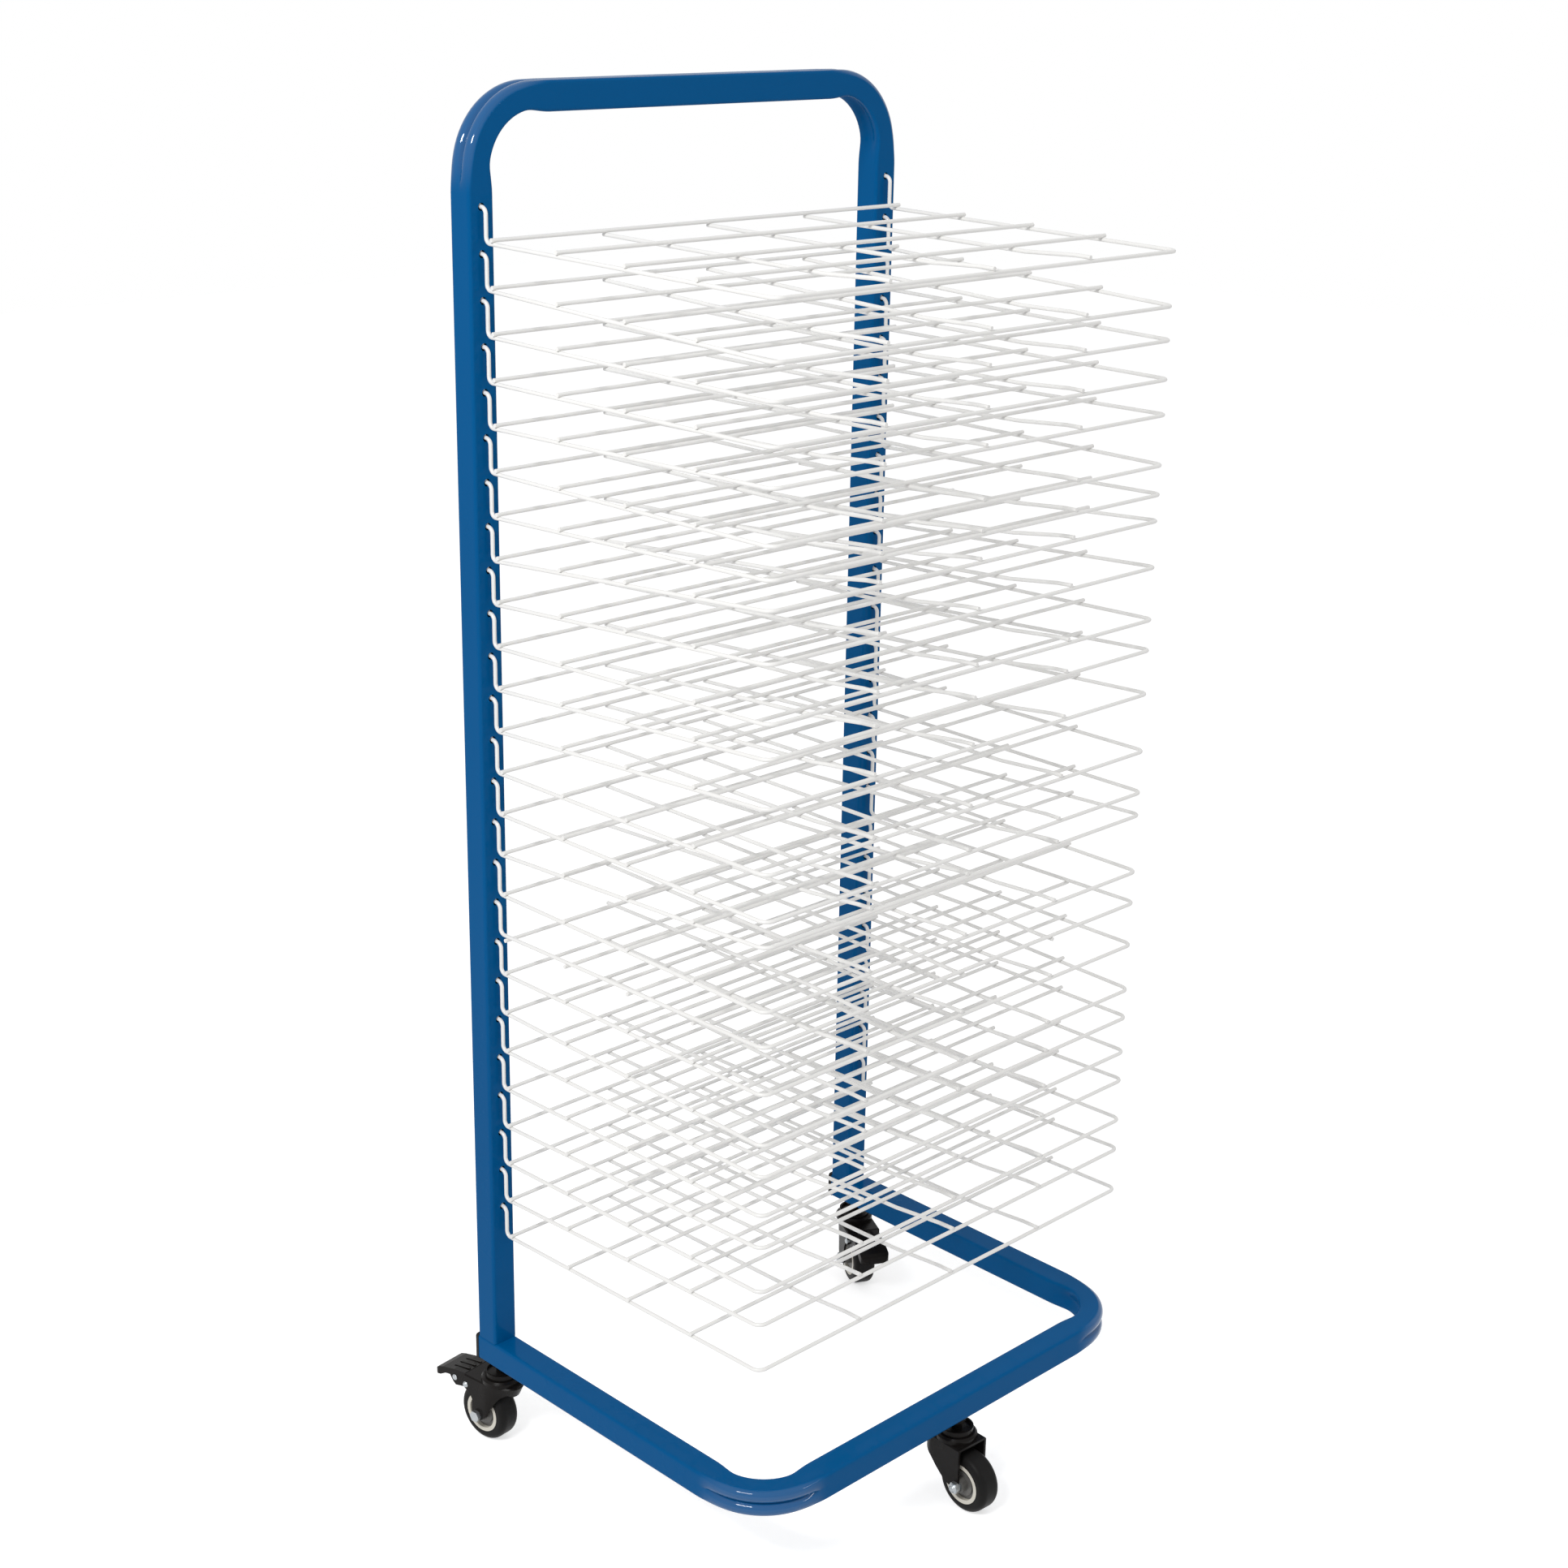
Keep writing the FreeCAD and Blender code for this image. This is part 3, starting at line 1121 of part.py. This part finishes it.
def make_rivets(place):
    """Two short rivets, one in each cheek, that the pedal's flanges turn on."""
    rivets = []
    inside = size("fork_width") / 2 - size("fork_plate") - size("pedal_side_gap") - size("pedal_plate")
    outside = size("fork_width") / 2
    for side in (-1, 1):
        shank = doc.addObject("Part::Cylinder", "RivetShank_%s_%d" % (place, side))
        bind(shank, "Radius", "{rivet_size}/2")
        bind(shank, "Height", "{fork_plate} + {pedal_side_gap} + {pedal_plate} + 0.9")
        head = doc.addObject("Part::Cone", "RivetHead_%s_%d" % (place, side))
        bind(head, "Radius1", "{rivet_head}/2")
        bind(head, "Radius2", "{rivet_head}/2 - 1")
        bind(head, "Height", "{rivet_head_thick}")
        head.Placement = Placement(Vector(0, 0, outside - inside + 0.4), Rotation())
        shank.Placement = Placement(Vector(0, 0, -0.4), Rotation())
        rivet = doc.addObject("Part::MultiFuse", "Rivet_%s_%d" % (place, side))
        rivet.Shapes = [shank, head]
        spot = Vector(side * (inside - 0.4), size("pedal_pivot_out"), -size("pedal_pivot_drop"))
        rivet.Placement = Placement(spot, Rotation(Vector(0, 1, 0), 90 * side))
        rivets.append(rivet)
    group = doc.addObject("Part::Compound", "Rivets_" + place)
    group.Links = rivets
    group.Placement = caster_place(place)
    return finish_node(group, place + "_pedal_rivets")


def make_spring(place):
    """Return spring: a close coil on a cross pin held by the two cheeks."""
    wire = size("spring_wire")
    length = value_of(INNER_WIDTH)
    pin = doc.addObject("Part::Cylinder", "SpringPin_" + place)
    bind(pin, "Radius", "{spring_pin}/2")
    bind(pin, "Height", "{fork_width} - 2*{fork_plate}")
    pin.Placement = Placement(Vector(-length / 2, 0, 0), Rotation(Vector(0, 1, 0), 90))
    coil = doc.addObject("Part::Feature", "SpringCoil_" + place)
    turns, pitch = 8, wire * 1.15
    radius = size("spring_pin") / 2 + wire / 2 + 0.05
    helix = Part.makeHelix(pitch, pitch * turns, radius)
    ring = Part.Wire(Part.Circle(Vector(radius, 0, 0), Vector(0, 1, 0), wire / 2).toShape())
    coil.Shape = Part.Wire(helix).makePipeShell([ring], True, True)
    coil.Placement = Placement(Vector(-pitch * turns / 2, 0, 0), Rotation(Vector(0, 1, 0), 90))
    group = doc.addObject("Part::Compound", "Spring_" + place)
    group.Links = [pin, coil]
    local = Placement(Vector(0, size("spring_out"), -size("spring_drop")), Rotation())
    group.Placement = caster_place(place).multiply(local)
    return finish_node(group, place + "_brake_spring")


def make_caster(place, braked):
    """One complete swivel caster under the base tube."""
    make_stem(place)
    make_balls(place)
    make_fork(place, braked)
    make_tyre(place)
    make_hub(place)
    make_sleeve(place)
    make_axle_bolt(place)
    make_axle_nut(place)
    if braked:
        make_pedal(place)
        make_rivets(place)
        make_spring(place)


# ---------------------------------------------------------------- build and export
def check_everything():
    """Stop the build if any object is broken or any node has no sound solid."""
    for item in doc.Objects:
        if "Invalid" in item.State or "Error" in item.State:
            raise RuntimeError("broken object: %s %s" % (item.Label, item.State))
    for node in NODES:
        shape = node.Shape
        if shape.isNull() or not shape.isValid() or not shape.Solids:
            raise RuntimeError("no sound solid: " + node.Label)


def export_nodes():
    os.makedirs("parts", exist_ok=True)
    for node in NODES:
        node.Shape.exportStep("parts/%s.step" % node.Label)


fill_sheet()
make_upright_frame()
make_base_frame()
make_end_cap("base_cap_left", -1)
make_end_cap("base_cap_right", 1)
make_stem_nuts()
for shelf_number in range(1, int(size("shelf_count")) + 1):
    make_shelf(shelf_number)
make_caster("rear_left", True)
make_caster("rear_right", True)
make_caster("front", False)
doc.recompute()
check_everything()
export_nodes()
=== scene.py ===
import json
import math

import bmesh
import bpy
from mathutils import Matrix, Vector


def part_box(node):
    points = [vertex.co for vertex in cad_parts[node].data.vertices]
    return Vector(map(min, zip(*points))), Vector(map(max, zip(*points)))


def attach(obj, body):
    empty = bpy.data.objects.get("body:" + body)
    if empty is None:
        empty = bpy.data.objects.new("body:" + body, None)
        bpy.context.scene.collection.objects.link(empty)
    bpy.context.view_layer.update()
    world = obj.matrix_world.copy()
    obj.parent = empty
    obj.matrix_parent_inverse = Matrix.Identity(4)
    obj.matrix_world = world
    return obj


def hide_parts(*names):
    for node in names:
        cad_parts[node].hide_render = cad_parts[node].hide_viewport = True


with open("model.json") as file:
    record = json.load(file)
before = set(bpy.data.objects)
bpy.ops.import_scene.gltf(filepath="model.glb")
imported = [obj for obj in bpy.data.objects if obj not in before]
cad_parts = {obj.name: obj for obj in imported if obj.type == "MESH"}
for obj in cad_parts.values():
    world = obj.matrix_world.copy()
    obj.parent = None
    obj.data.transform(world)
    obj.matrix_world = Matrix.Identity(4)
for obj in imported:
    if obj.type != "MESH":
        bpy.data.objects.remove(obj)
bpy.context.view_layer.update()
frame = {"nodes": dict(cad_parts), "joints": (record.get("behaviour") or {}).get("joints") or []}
nodes = frame["nodes"]
bpy.ops.object.select_all(action="DESELECT")

# ---- upright tube --------------------------------------------------------------
# One 25 mm square steel tube bent to an upside-down U and coated in gloss blue.
# The bending tool has pinched it: in each bend the outer and the inner wall are
# pressed hollow between the corner ridges. The posts carry a row of hook holes.
TUBE = 0.025
TUBE_WALL = 0.0015
TUBE_CORNER = 0.0025
RACK_HALF = 0.235
POST_BEND = 0.058
BEND_FACETS = 20
LEAD = 0.03
LEAD_STEPS = 8
ROLL_RADIUS = 0.0068
ROLL_APART = 0.0064
INNER_SINK = 0.0026
INNER_PINCH = 0.0034
PRESS_STARTS = -0.016
PRESS_FULL = 0.014


class Wire:
    """A shader socket that Python's operators do Math nodes on."""

    def __init__(self, shop, socket):
        self.shop = shop
        self.socket = socket

    def __add__(self, other):
        return self.shop.math("ADD", self, other)

    __radd__ = __add__

    def __sub__(self, other):
        return self.shop.math("SUBTRACT", self, other)

    def __rsub__(self, other):
        return self.shop.math("SUBTRACT", other, self)

    def __mul__(self, other):
        return self.shop.math("MULTIPLY", self, other)

    __rmul__ = __mul__

    def clip(self, low, high):
        """0 below low, 1 above high, even in between."""
        return self.shop.math("MULTIPLY", self - low, 1 / (high - low), use_clamp=True)


class Shop:
    """Where a material is put together, node by node, around one Principled shader."""

    def __init__(self, name, **even):
        self.material = bpy.data.materials.new(name)
        self.material.use_nodes = True
        self.tree = self.material.node_tree
        self.tree.nodes.clear()
        self.shader = self.tree.nodes.new("ShaderNodeBsdfPrincipled")
        for socket, value in even.items():
            self.shader.inputs[socket.replace("_", " ")].default_value = value
        out = self.tree.nodes.new("ShaderNodeOutputMaterial")
        self.tree.links.new(self.shader.outputs[0], out.inputs[0])
        self.place = self.node("ShaderNodeTexCoord", {}, {}, "Object")

    def node(self, kind, settings, values, output=0):
        """Add any node: its settings first, then the values or links of its sockets."""
        made = self.tree.nodes.new(kind)
        for name, value in settings.items():
            setattr(made, name, value)
        for name, value in values.items():
            self.feed(made.inputs[name], value)
        return Wire(self, made.outputs[output])

    def feed(self, socket, value):
        """Link a wire to the socket, or set the socket to a plain value."""
        if isinstance(value, Wire):
            self.tree.links.new(value.socket, socket)
        else:
            socket.default_value = value

    def math(self, operation, first, second, use_clamp=False):
        """Work out one step of arithmetic in the shader."""
        return self.node("ShaderNodeMath", {"operation": operation, "use_clamp": use_clamp},
                         {0: first, 1: second})

    def noise(self, scale, detail=2.0):
        """Even noise from 0 to 1; scale is in lumps per metre."""
        return self.node("ShaderNodeTexNoise", {},
                         {"Vector": self.place, "Scale": scale, "Detail": detail})

    def mix(self, part, first, second):
        """Blend two colours."""
        return self.node("ShaderNodeMix", {"data_type": "RGBA"},
                         {0: part, 6: first, 7: second}, 2)

    def dress(self, bump=None, depth=0.0001, **inputs):
        """Feed the shader's sockets, and the bump if there is one; returns the material."""
        for name, value in inputs.items():
            self.feed(self.shader.inputs[name.replace("_", " ")], value)
        if bump is not None:
            normal = self.node("ShaderNodeBump", {}, {"Height": bump, "Distance": depth})
            self.feed(self.shader.inputs["Normal"], normal)
        return self.material


def blue_coat():
    """Gloss powder coat: faint orange peel, slow drift in shade, glossiest on the folds."""
    coat = Shop("blue_powder_coat", Coat_Roughness=0.03, IOR=1.45, Specular_IOR_Level=0.02)
    drift = coat.noise(3.0)
    peel = coat.noise(420.0, 1.0)
    dust = coat.noise(60.0, 4.0).clip(0.55, 0.8)
    fold = coat.node("ShaderNodeAttribute", {"attribute_name": "fold"}, {}, "Fac")
    tint = coat.mix(drift, (0.0, 0.08, 0.24, 1.0), (0.0, 0.094, 0.275, 1.0))
    return coat.dress(Base_Color=coat.mix(dust * 0.08, tint, (0.02, 0.12, 0.29, 1.0)),
                      Roughness=0.24 + 0.08 * drift + 0.1 * dust,
                      Coat_Weight=0.07 - 0.04 * dust + 0.8 * fold,
                      bump=peel, depth=0.000006)


blue = blue_coat()


def step(value, low, high):
    """Smooth ramp from 0 at low to 1 at high."""
    part = min(1.0, max(0.0, (value - low) / (high - low)))
    return part * part * (3 - 2 * part)


def extrude(way, steps=1):
    """Draw the selected loop out along way, in equal steps."""
    for _ in range(steps):
        bpy.ops.mesh.extrude_region_move(
            TRANSFORM_OT_translate={"value": [part / steps for part in way]})


def bend_round(x, z):
    """Carry the selected loop a quarter turn round the bend's middle."""
    bpy.ops.mesh.spin(steps=BEND_FACETS, angle=-math.pi / 2, center=(x, 0, z), axis=(0, 1, 0))


def bent_tube(name, half, start, far, bend):
    """A square tube bent to a U in the XZ plane: up one leg, across, and down the other."""
    bpy.ops.mesh.primitive_plane_add(size=TUBE, location=(-half, 0, start))
    tube = bpy.context.object
    tube.name = name
    bpy.ops.object.transform_apply(location=True, rotation=True, scale=True)
    bpy.ops.object.mode_set(mode="EDIT")
    bpy.ops.mesh.select_all(action="SELECT")
    bpy.ops.mesh.bevel(offset=TUBE_CORNER, segments=4, affect="VERTICES")
    mesh = bmesh.from_edit_mesh(tube.data)
    bpy.ops.mesh.select_all(action="DESELECT")
    bpy.ops.mesh.select_mode(type="EDGE")
    for edge in mesh.edges:
        edge.select_set(edge.calc_length() > TUBE / 2)
    bpy.ops.mesh.subdivide(number_cuts=9)
    bpy.ops.mesh.select_all(action="SELECT")
    bpy.ops.mesh.delete(type="ONLY_FACE")
    bpy.ops.mesh.select_all(action="SELECT")
    shoulder = far - bend
    extrude((0, 0, shoulder - LEAD - start))
    extrude((0, 0, LEAD), LEAD_STEPS)
    bend_round(-half + bend, shoulder)
    extrude((LEAD, 0, 0), LEAD_STEPS)
    extrude((2 * (half - bend - LEAD), 0, 0))
    extrude((LEAD, 0, 0), LEAD_STEPS)
    bend_round(half - bend, shoulder)
    extrude((0, 0, -LEAD), LEAD_STEPS)
    extrude((0, 0, start - shoulder + LEAD))
    bpy.ops.mesh.select_all(action="SELECT")
    bpy.ops.mesh.remove_doubles(threshold=0.00002)
    bpy.ops.mesh.normals_make_consistent(inside=False)
    bpy.ops.object.mode_set(mode="OBJECT")
    press_bends(tube, half, far, bend)
    return tube


def press_bends(tube, half, far, bend):
    """Fold the outer wall into two round rolls where the tube is bent, and pinch the inner."""
    fold = tube.data.attributes.new("fold", "FLOAT", "POINT")
    for vertex in tube.data.vertices:
        x, y, z = vertex.co
        side = -1 if x < 0 else 1
        hub = Vector((side * (half - bend), 0, far - bend))
        along_x, along_z = side * (x - hub.x), z - hub.z
        if along_x > 0 and along_z > 0:
            out = Vector((side * along_x, 0, along_z)).normalized()
            ring = math.hypot(along_x, along_z) - bend
            turn = math.degrees(math.atan2(along_z, along_x))
            inside = min(turn, 90 - turn) * bend * math.pi / 180
        elif along_z <= 0:
            out, ring, inside = Vector((side, 0, 0)), along_x - bend, along_z
        else:
            out, ring, inside = Vector((0, 0, 1)), along_z - bend, along_x
        press = step(inside, PRESS_STARTS, PRESS_FULL)
        across = abs(y) / (TUBE / 2)
        wall = ring / (TUBE / 2)
        fold.data[vertex.index].value = press * step(wall, 0.82, 0.95)
        if wall > 0.5:
            lean = abs(y) - ROLL_APART
            roll = ROLL_RADIUS - math.sqrt(ROLL_RADIUS ** 2 - lean ** 2)
            vertex.co -= out * (press * roll * step(wall, 0.5, 1.0))
        elif wall < -0.97:
            hollow = INNER_SINK + INNER_PINCH * (1 - step(across, 0.0, 0.78))
            vertex.co += out * (press * hollow)
        elif wall < 0:
            vertex.co += out * (press * INNER_SINK * -wall)


def set_tube(tube, node, turn, place):
    """Turn the tube into place, give it its wall, and let it stand for its CAD node."""
    bpy.ops.object.select_all(action="DESELECT")
    tube.select_set(True)
    bpy.context.view_layer.objects.active = tube
    tube.rotation_euler = turn
    tube.location = place
    bpy.ops.object.transform_apply(location=True, rotation=True, scale=True)
    wall = tube.modifiers.new("wall", "SOLIDIFY")
    wall.thickness = TUBE_WALL
    wall.offset = -1.0
    bpy.ops.object.modifier_apply(modifier=wall.name)
    tube.data.materials.append(blue)
    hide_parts(node)
    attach(tube, "rack")


def finish_shading(piece):
    """Smooth across soft bends, crisp at folds, flat faces kept flat."""
    bpy.ops.object.select_all(action="DESELECT")
    piece.select_set(True)
    bpy.context.view_layer.objects.active = piece
    bpy.ops.object.shade_smooth_by_angle(angle=math.radians(35))
    even = piece.modifiers.new("even_shading", "WEIGHTED_NORMAL")
    even.keep_sharp = True


post_low, post_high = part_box("upright_frame")
post_y = (post_low.y + post_high.y) / 2
post_top = post_high.z - post_low.z - TUBE / 2
upright = bent_tube("upright_tube", RACK_HALF, 0.0, post_top, POST_BEND)
set_tube(upright, "upright_frame", (0, 0, 0), (0, post_y, post_low.z))

HOOK_HOLE = 0.0066
PUNCH_DEPTH = 0.008
hinges = [joint for joint in frame["joints"] if joint["name"].startswith("shelf_")]
punches = []
for hinge in hinges:
    for side in (-1, 1):
        spot = (side * RACK_HALF, post_low.y, hinge["pos_m"][2])
        bpy.ops.mesh.primitive_cylinder_add(vertices=20, radius=HOOK_HOLE / 2,
                                            depth=PUNCH_DEPTH, location=spot,
                                            rotation=(math.pi / 2, 0, 0))
        punches.append(bpy.context.object)
for punch in punches:
    punch.select_set(True)
bpy.ops.object.join()
punch = bpy.context.object
bpy.ops.object.select_all(action="DESELECT")
upright.select_set(True)
bpy.context.view_layer.objects.active = upright
holes = upright.modifiers.new("holes", "BOOLEAN")
holes.operation = "DIFFERENCE"
holes.object = punch
holes.solver = "EXACT"
bpy.ops.object.modifier_apply(modifier=holes.name)
bpy.data.objects.remove(punch)
finish_shading(upright)

# ---- base tube -----------------------------------------------------------------
# The same tube bent to a U that lies flat, open at the back, with the posts welded
# on its rear ends. Its two front bends are pinched in the same way.
BASE_BEND = 0.052
base_low, base_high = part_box("base_frame")
base_z = (base_low.z + base_high.z) / 2
reach = post_low.y - base_low.y - TUBE / 2
base = bent_tube("base_tube", RACK_HALF, -TUBE, reach, BASE_BEND)
set_tube(base, "base_frame", (math.pi / 2, 0, 0), (0, post_low.y, base_z))
finish_shading(base)

# ---- end caps ------------------------------------------------------------------
# Plugs moulded in black plastic, one in each rear end of the base tube. Each is
# driven in until its thin flange lies against the cut edge of the steel.
def black_plastic():
    """Satin black polymer with a fine moulded grain."""
    shell = Shop("black_plastic", IOR=1.45, Specular_IOR_Level=0.12)
    grain = shell.noise(900.0, 1.0)
    wear = shell.noise(70.0, 3.0)
    tint = shell.mix(wear, (0.011, 0.011, 0.012, 1), (0.02, 0.02, 0.021, 1))
    return shell.dress(Base_Color=tint, Roughness=0.42 + 0.16 * wear,
                       bump=grain, depth=0.00004)


def cover(node, material):
    """Give a CAD node this material."""
    nodes[node].data.materials.clear()
    nodes[node].data.materials.append(material)


plastic = black_plastic()
for side in ("left", "right"):
    cover("base_cap_" + side, plastic)

# ---- shelves -------------------------------------------------------------------
# Each shelf is one bent rim wire with straight wires spot-welded across it, dipped
# in white paint, so the coat is thick and glossy and gathers a little at the welds.
def white_coat():
    """Dipped white paint: smooth lumps, faint warm drift."""
    coat = Shop("white_dip_coat", IOR=1.48, Coat_Roughness=0.1)
    drift = coat.noise(9.0)
    lumps = coat.noise(160.0, 2.0)
    tint = coat.mix(drift, (0.79, 0.78, 0.76, 1), (0.86, 0.855, 0.84, 1))
    return coat.dress(Base_Color=tint, Roughness=0.28 + 0.14 * lumps,
                      Coat_Weight=0.2 + 0.1 * drift, bump=lumps, depth=0.0002)


white = white_coat()
for name in nodes:
    if name.startswith("shelf_"):
        cover(name, white)

# ---- casters -------------------------------------------------------------------
# Three swivel casters: pressed forks in satin black, moulded wheels with soft black
# tyres, zinc-plated bolts. The two rear ones have a foot brake.
def black_enamel():
    """Satin baked paint on the pressed steel, warm in its black."""
    coat = Shop("black_enamel", IOR=1.45, Specular_IOR_Level=0.1)
    drift = coat.noise(40.0, 3.0)
    peel = coat.noise(700.0, 1.0)
    tint = coat.mix(drift, (0.006, 0.005, 0.0048, 1), (0.012, 0.0105, 0.0095, 1))
    return coat.dress(Base_Color=tint, Roughness=0.2 + 0.12 * drift,
                      bump=peel, depth=0.00003)


def tyre_rubber():
    """Soft black rubber, duller where dust sits."""
    tread = Shop("tyre_rubber", IOR=1.45, Specular_IOR_Level=0.1)
    dust = tread.noise(55.0, 4.0)
    grain = tread.noise(1200.0, 1.0)
    tint = tread.mix(dust, (0.007, 0.0068, 0.007, 1), (0.014, 0.0135, 0.013, 1))
    return tread.dress(Base_Color=tint, Roughness=0.36 + 0.2 * dust,
                       bump=grain, depth=0.00004)


def cream_plastic():
    """Cream moulding of the wheel's rim."""
    moulded = Shop("cream_hub_plastic", IOR=1.46)
    drift = moulded.noise(60.0, 3.0)
    tint = moulded.mix(drift, (0.62, 0.58, 0.5, 1), (0.72, 0.69, 0.61, 1))
    return moulded.dress(Base_Color=tint, Roughness=0.35 + 0.1 * drift,
                         bump=drift, depth=0.00005)


def recess_plastic():
    """The sunk face inside the hub's bright ring: the same moulding, coloured dark grey in
    random darker and lighter patches.
    """
    moulded = Shop("hub_recess", IOR=1.46)
    dust = moulded.noise(90.0, 3.0)
    tint = moulded.mix(dust, (0.07, 0.068, 0.064, 1), (0.15, 0.145, 0.135, 1))
    return moulded.dress(Base_Color=tint, Roughness=0.32 + 0.2 * dust,
                         bump=dust, depth=0.00005)


def zinc_plate():
    """Zinc on the bolts and rivets, in a fine spangle."""
    plate = Shop("zinc_plate", Metallic=0.9)
    spangle = plate.noise(500.0, 2.0)
    tint = plate.mix(spangle, (0.32, 0.35, 0.38, 1), (0.52, 0.54, 0.54, 1))
    return plate.dress(Base_Color=tint, Roughness=0.25 + 0.2 * spangle,
                       bump=spangle, depth=0.00003)


enamel = black_enamel()
rubber = tyre_rubber()
cream = cream_plastic()
recess = recess_plastic()
zinc = zinc_plate()
for name in nodes:
    if name.endswith(("_stem", "_fork", "_brake_pedal")):
        cover(name, enamel)
    elif name.endswith("_tyre"):
        cover(name, rubber)
    elif name.endswith("_hub"):
        cover(name, cream)
    elif name.endswith(("_balls", "_sleeve", "_bolt", "_nut", "_rivets", "_spring", "_nuts")):
        cover(name, zinc)

turns = {joint["child"]: joint for joint in frame["joints"]}
HUB_RING = 0.0152
for place in ("rear_left", "rear_right", "front"):
    wheel = turns[place + "_wheel"]
    middle, axle = Vector(wheel["pos_m"]), Vector(wheel["axis"])
    hub = nodes[place + "_hub"]
    hub.data.materials.append(recess)
    for face in hub.data.polygons:
        arm = hub.matrix_world @ face.center - middle
        face.material_index = int((arm - axle * arm.dot(axle)).length < HUB_RING)

# ---- pedal rivets --------------------------------------------------------------
# A second pair of zinc-plated rivets ties the pedal's two side plates behind the
# pivot: a plain shank with a domed head pressed up on each plate.
PLATE_OUTSIDE = 0.01525
RIVET_REACH = 0.0167
SHANK_RADIUS = 0.002
HEAD_RADIUS = 0.003
HEAD_DOME = 0.45
for place in ("rear_left", "rear_right"):
    press = turns[place + "_pedal"]
    pivot, across = Vector(press["pos_m"]), Vector(press["axis"])
    outward = pivot - Vector(turns[place + "_swivel"]["pos_m"])
    outward.z = 0
    spot = pivot + outward.normalized() * RIVET_REACH
    bpy.ops.mesh.primitive_cylinder_add(vertices=32, radius=SHANK_RADIUS,
                                        depth=2 * PLATE_OUTSIDE)
    rivet = bpy.context.object
    for side in (-1, 1):
        bpy.ops.mesh.primitive_uv_sphere_add(segments=32, ring_count=16, radius=HEAD_RADIUS,
                                             location=(0, 0, side * PLATE_OUTSIDE))
        head = bpy.context.object
        head.scale.z = HEAD_DOME
        rivet.select_set(True)
        bpy.context.view_layer.objects.active = rivet
        bpy.ops.object.join()
    rivet.name = place + "_plate_rivet"
    rivet.rotation_euler = across.to_track_quat("Z", "Y").to_euler()
    rivet.location = spot
    bpy.ops.object.transform_apply(location=True, rotation=True, scale=True)
    bpy.ops.object.shade_smooth()
    rivet.data.materials.append(zinc)
    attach(rivet, place + "_pedal")

# ---- floor, light and camera ---------------------------------------------------
# A plain white floor and room, a large soft key from the front left, a weaker one
# from the front right, and a long lens at a little above the rack's shoulder height.
ROOM_LIGHT = 0.54
ROOM_SEEN = 1.0
CAMERA_TURN = math.radians(44.812)
CAMERA_TILT = math.radians(18.817)
CAMERA_ROLL = math.radians(1.029)


def white_floor():
    """White to the camera, with the rack's shadow left on it."""
    ground = Shop("white_floor", Roughness=0.9, Base_Color=(0.85, 0.85, 0.85, 1),
                  Emission_Strength=0.55)
    camera_ray = ground.node("ShaderNodeLightPath", {}, {}, "Is Camera Ray")
    glossy_ray = ground.node("ShaderNodeLightPath", {}, {}, "Is Glossy Ray")
    seen = ground.math("MAXIMUM", camera_ray, glossy_ray)
    return ground.dress(Emission_Color=ground.mix(seen, (0, 0, 0, 1), (1, 1, 1, 1)))


bpy.ops.mesh.primitive_plane_add(size=14, location=(0, 0, 0))
floor = bpy.context.object
floor.name = "floor"
floor.data.materials.append(white_floor())

scene = bpy.context.scene
scene.view_settings.view_transform = "Standard"
world = bpy.data.worlds.new("white_room")
scene.world = world
world.use_nodes = True
tree = world.node_tree
path = tree.nodes.new("ShaderNodeLightPath")
room = tree.nodes["Background"]
room.inputs["Color"].default_value = (1, 1, 1, 1)
level = tree.nodes.new("ShaderNodeMapRange")
level.inputs["To Min"].default_value = ROOM_LIGHT
level.inputs["To Max"].default_value = ROOM_SEEN
either = tree.nodes.new("ShaderNodeMath")
either.operation = "MAXIMUM"
tree.links.new(path.outputs["Is Camera Ray"], either.inputs[0])
tree.links.new(path.outputs["Is Glossy Ray"], either.inputs[1])
tree.links.new(either.outputs[0], level.inputs["Value"])
tree.links.new(level.outputs[0], room.inputs["Strength"])

for name, place, aim, wide, tall, power in (
        ("key_light", (-2.5, -0.7, 2.7), (0, 0, 0.6), 1.2, 0.4, 60),
        ("fill_light", (1.2, -3.0, 1.9), (0, 0, 0.6), 0.9, 0.2, 8)):
    bpy.ops.object.light_add(type="AREA", location=place)
    lamp = bpy.context.object
    lamp.name = name
    lamp.data.shape = "RECTANGLE"
    lamp.data.size = wide
    lamp.data.size_y = tall
    lamp.data.energy = power
    lamp.rotation_euler = (Vector(aim) - Vector(place)).to_track_quat("-Z", "Y").to_euler()

back = Vector((-math.sin(CAMERA_TURN) * math.cos(CAMERA_TILT),
               -math.cos(CAMERA_TURN) * math.cos(CAMERA_TILT), math.sin(CAMERA_TILT)))
right = (-back).cross(Vector((0, 0, 1))).normalized()
up = back.cross(right)
rolled_right = math.cos(CAMERA_ROLL) * right + math.sin(CAMERA_ROLL) * up
rolled_up = math.cos(CAMERA_ROLL) * up - math.sin(CAMERA_ROLL) * right
bpy.ops.object.camera_add(location=(-1.49112, post_low.y - 1.61837, 1.3583))
camera = bpy.context.object
camera.name = "camera"
camera.rotation_euler = Matrix((rolled_right, rolled_up, back)).transposed().to_euler()
camera.data.sensor_width = 36
camera.data.lens = 57.398
scene.camera = camera
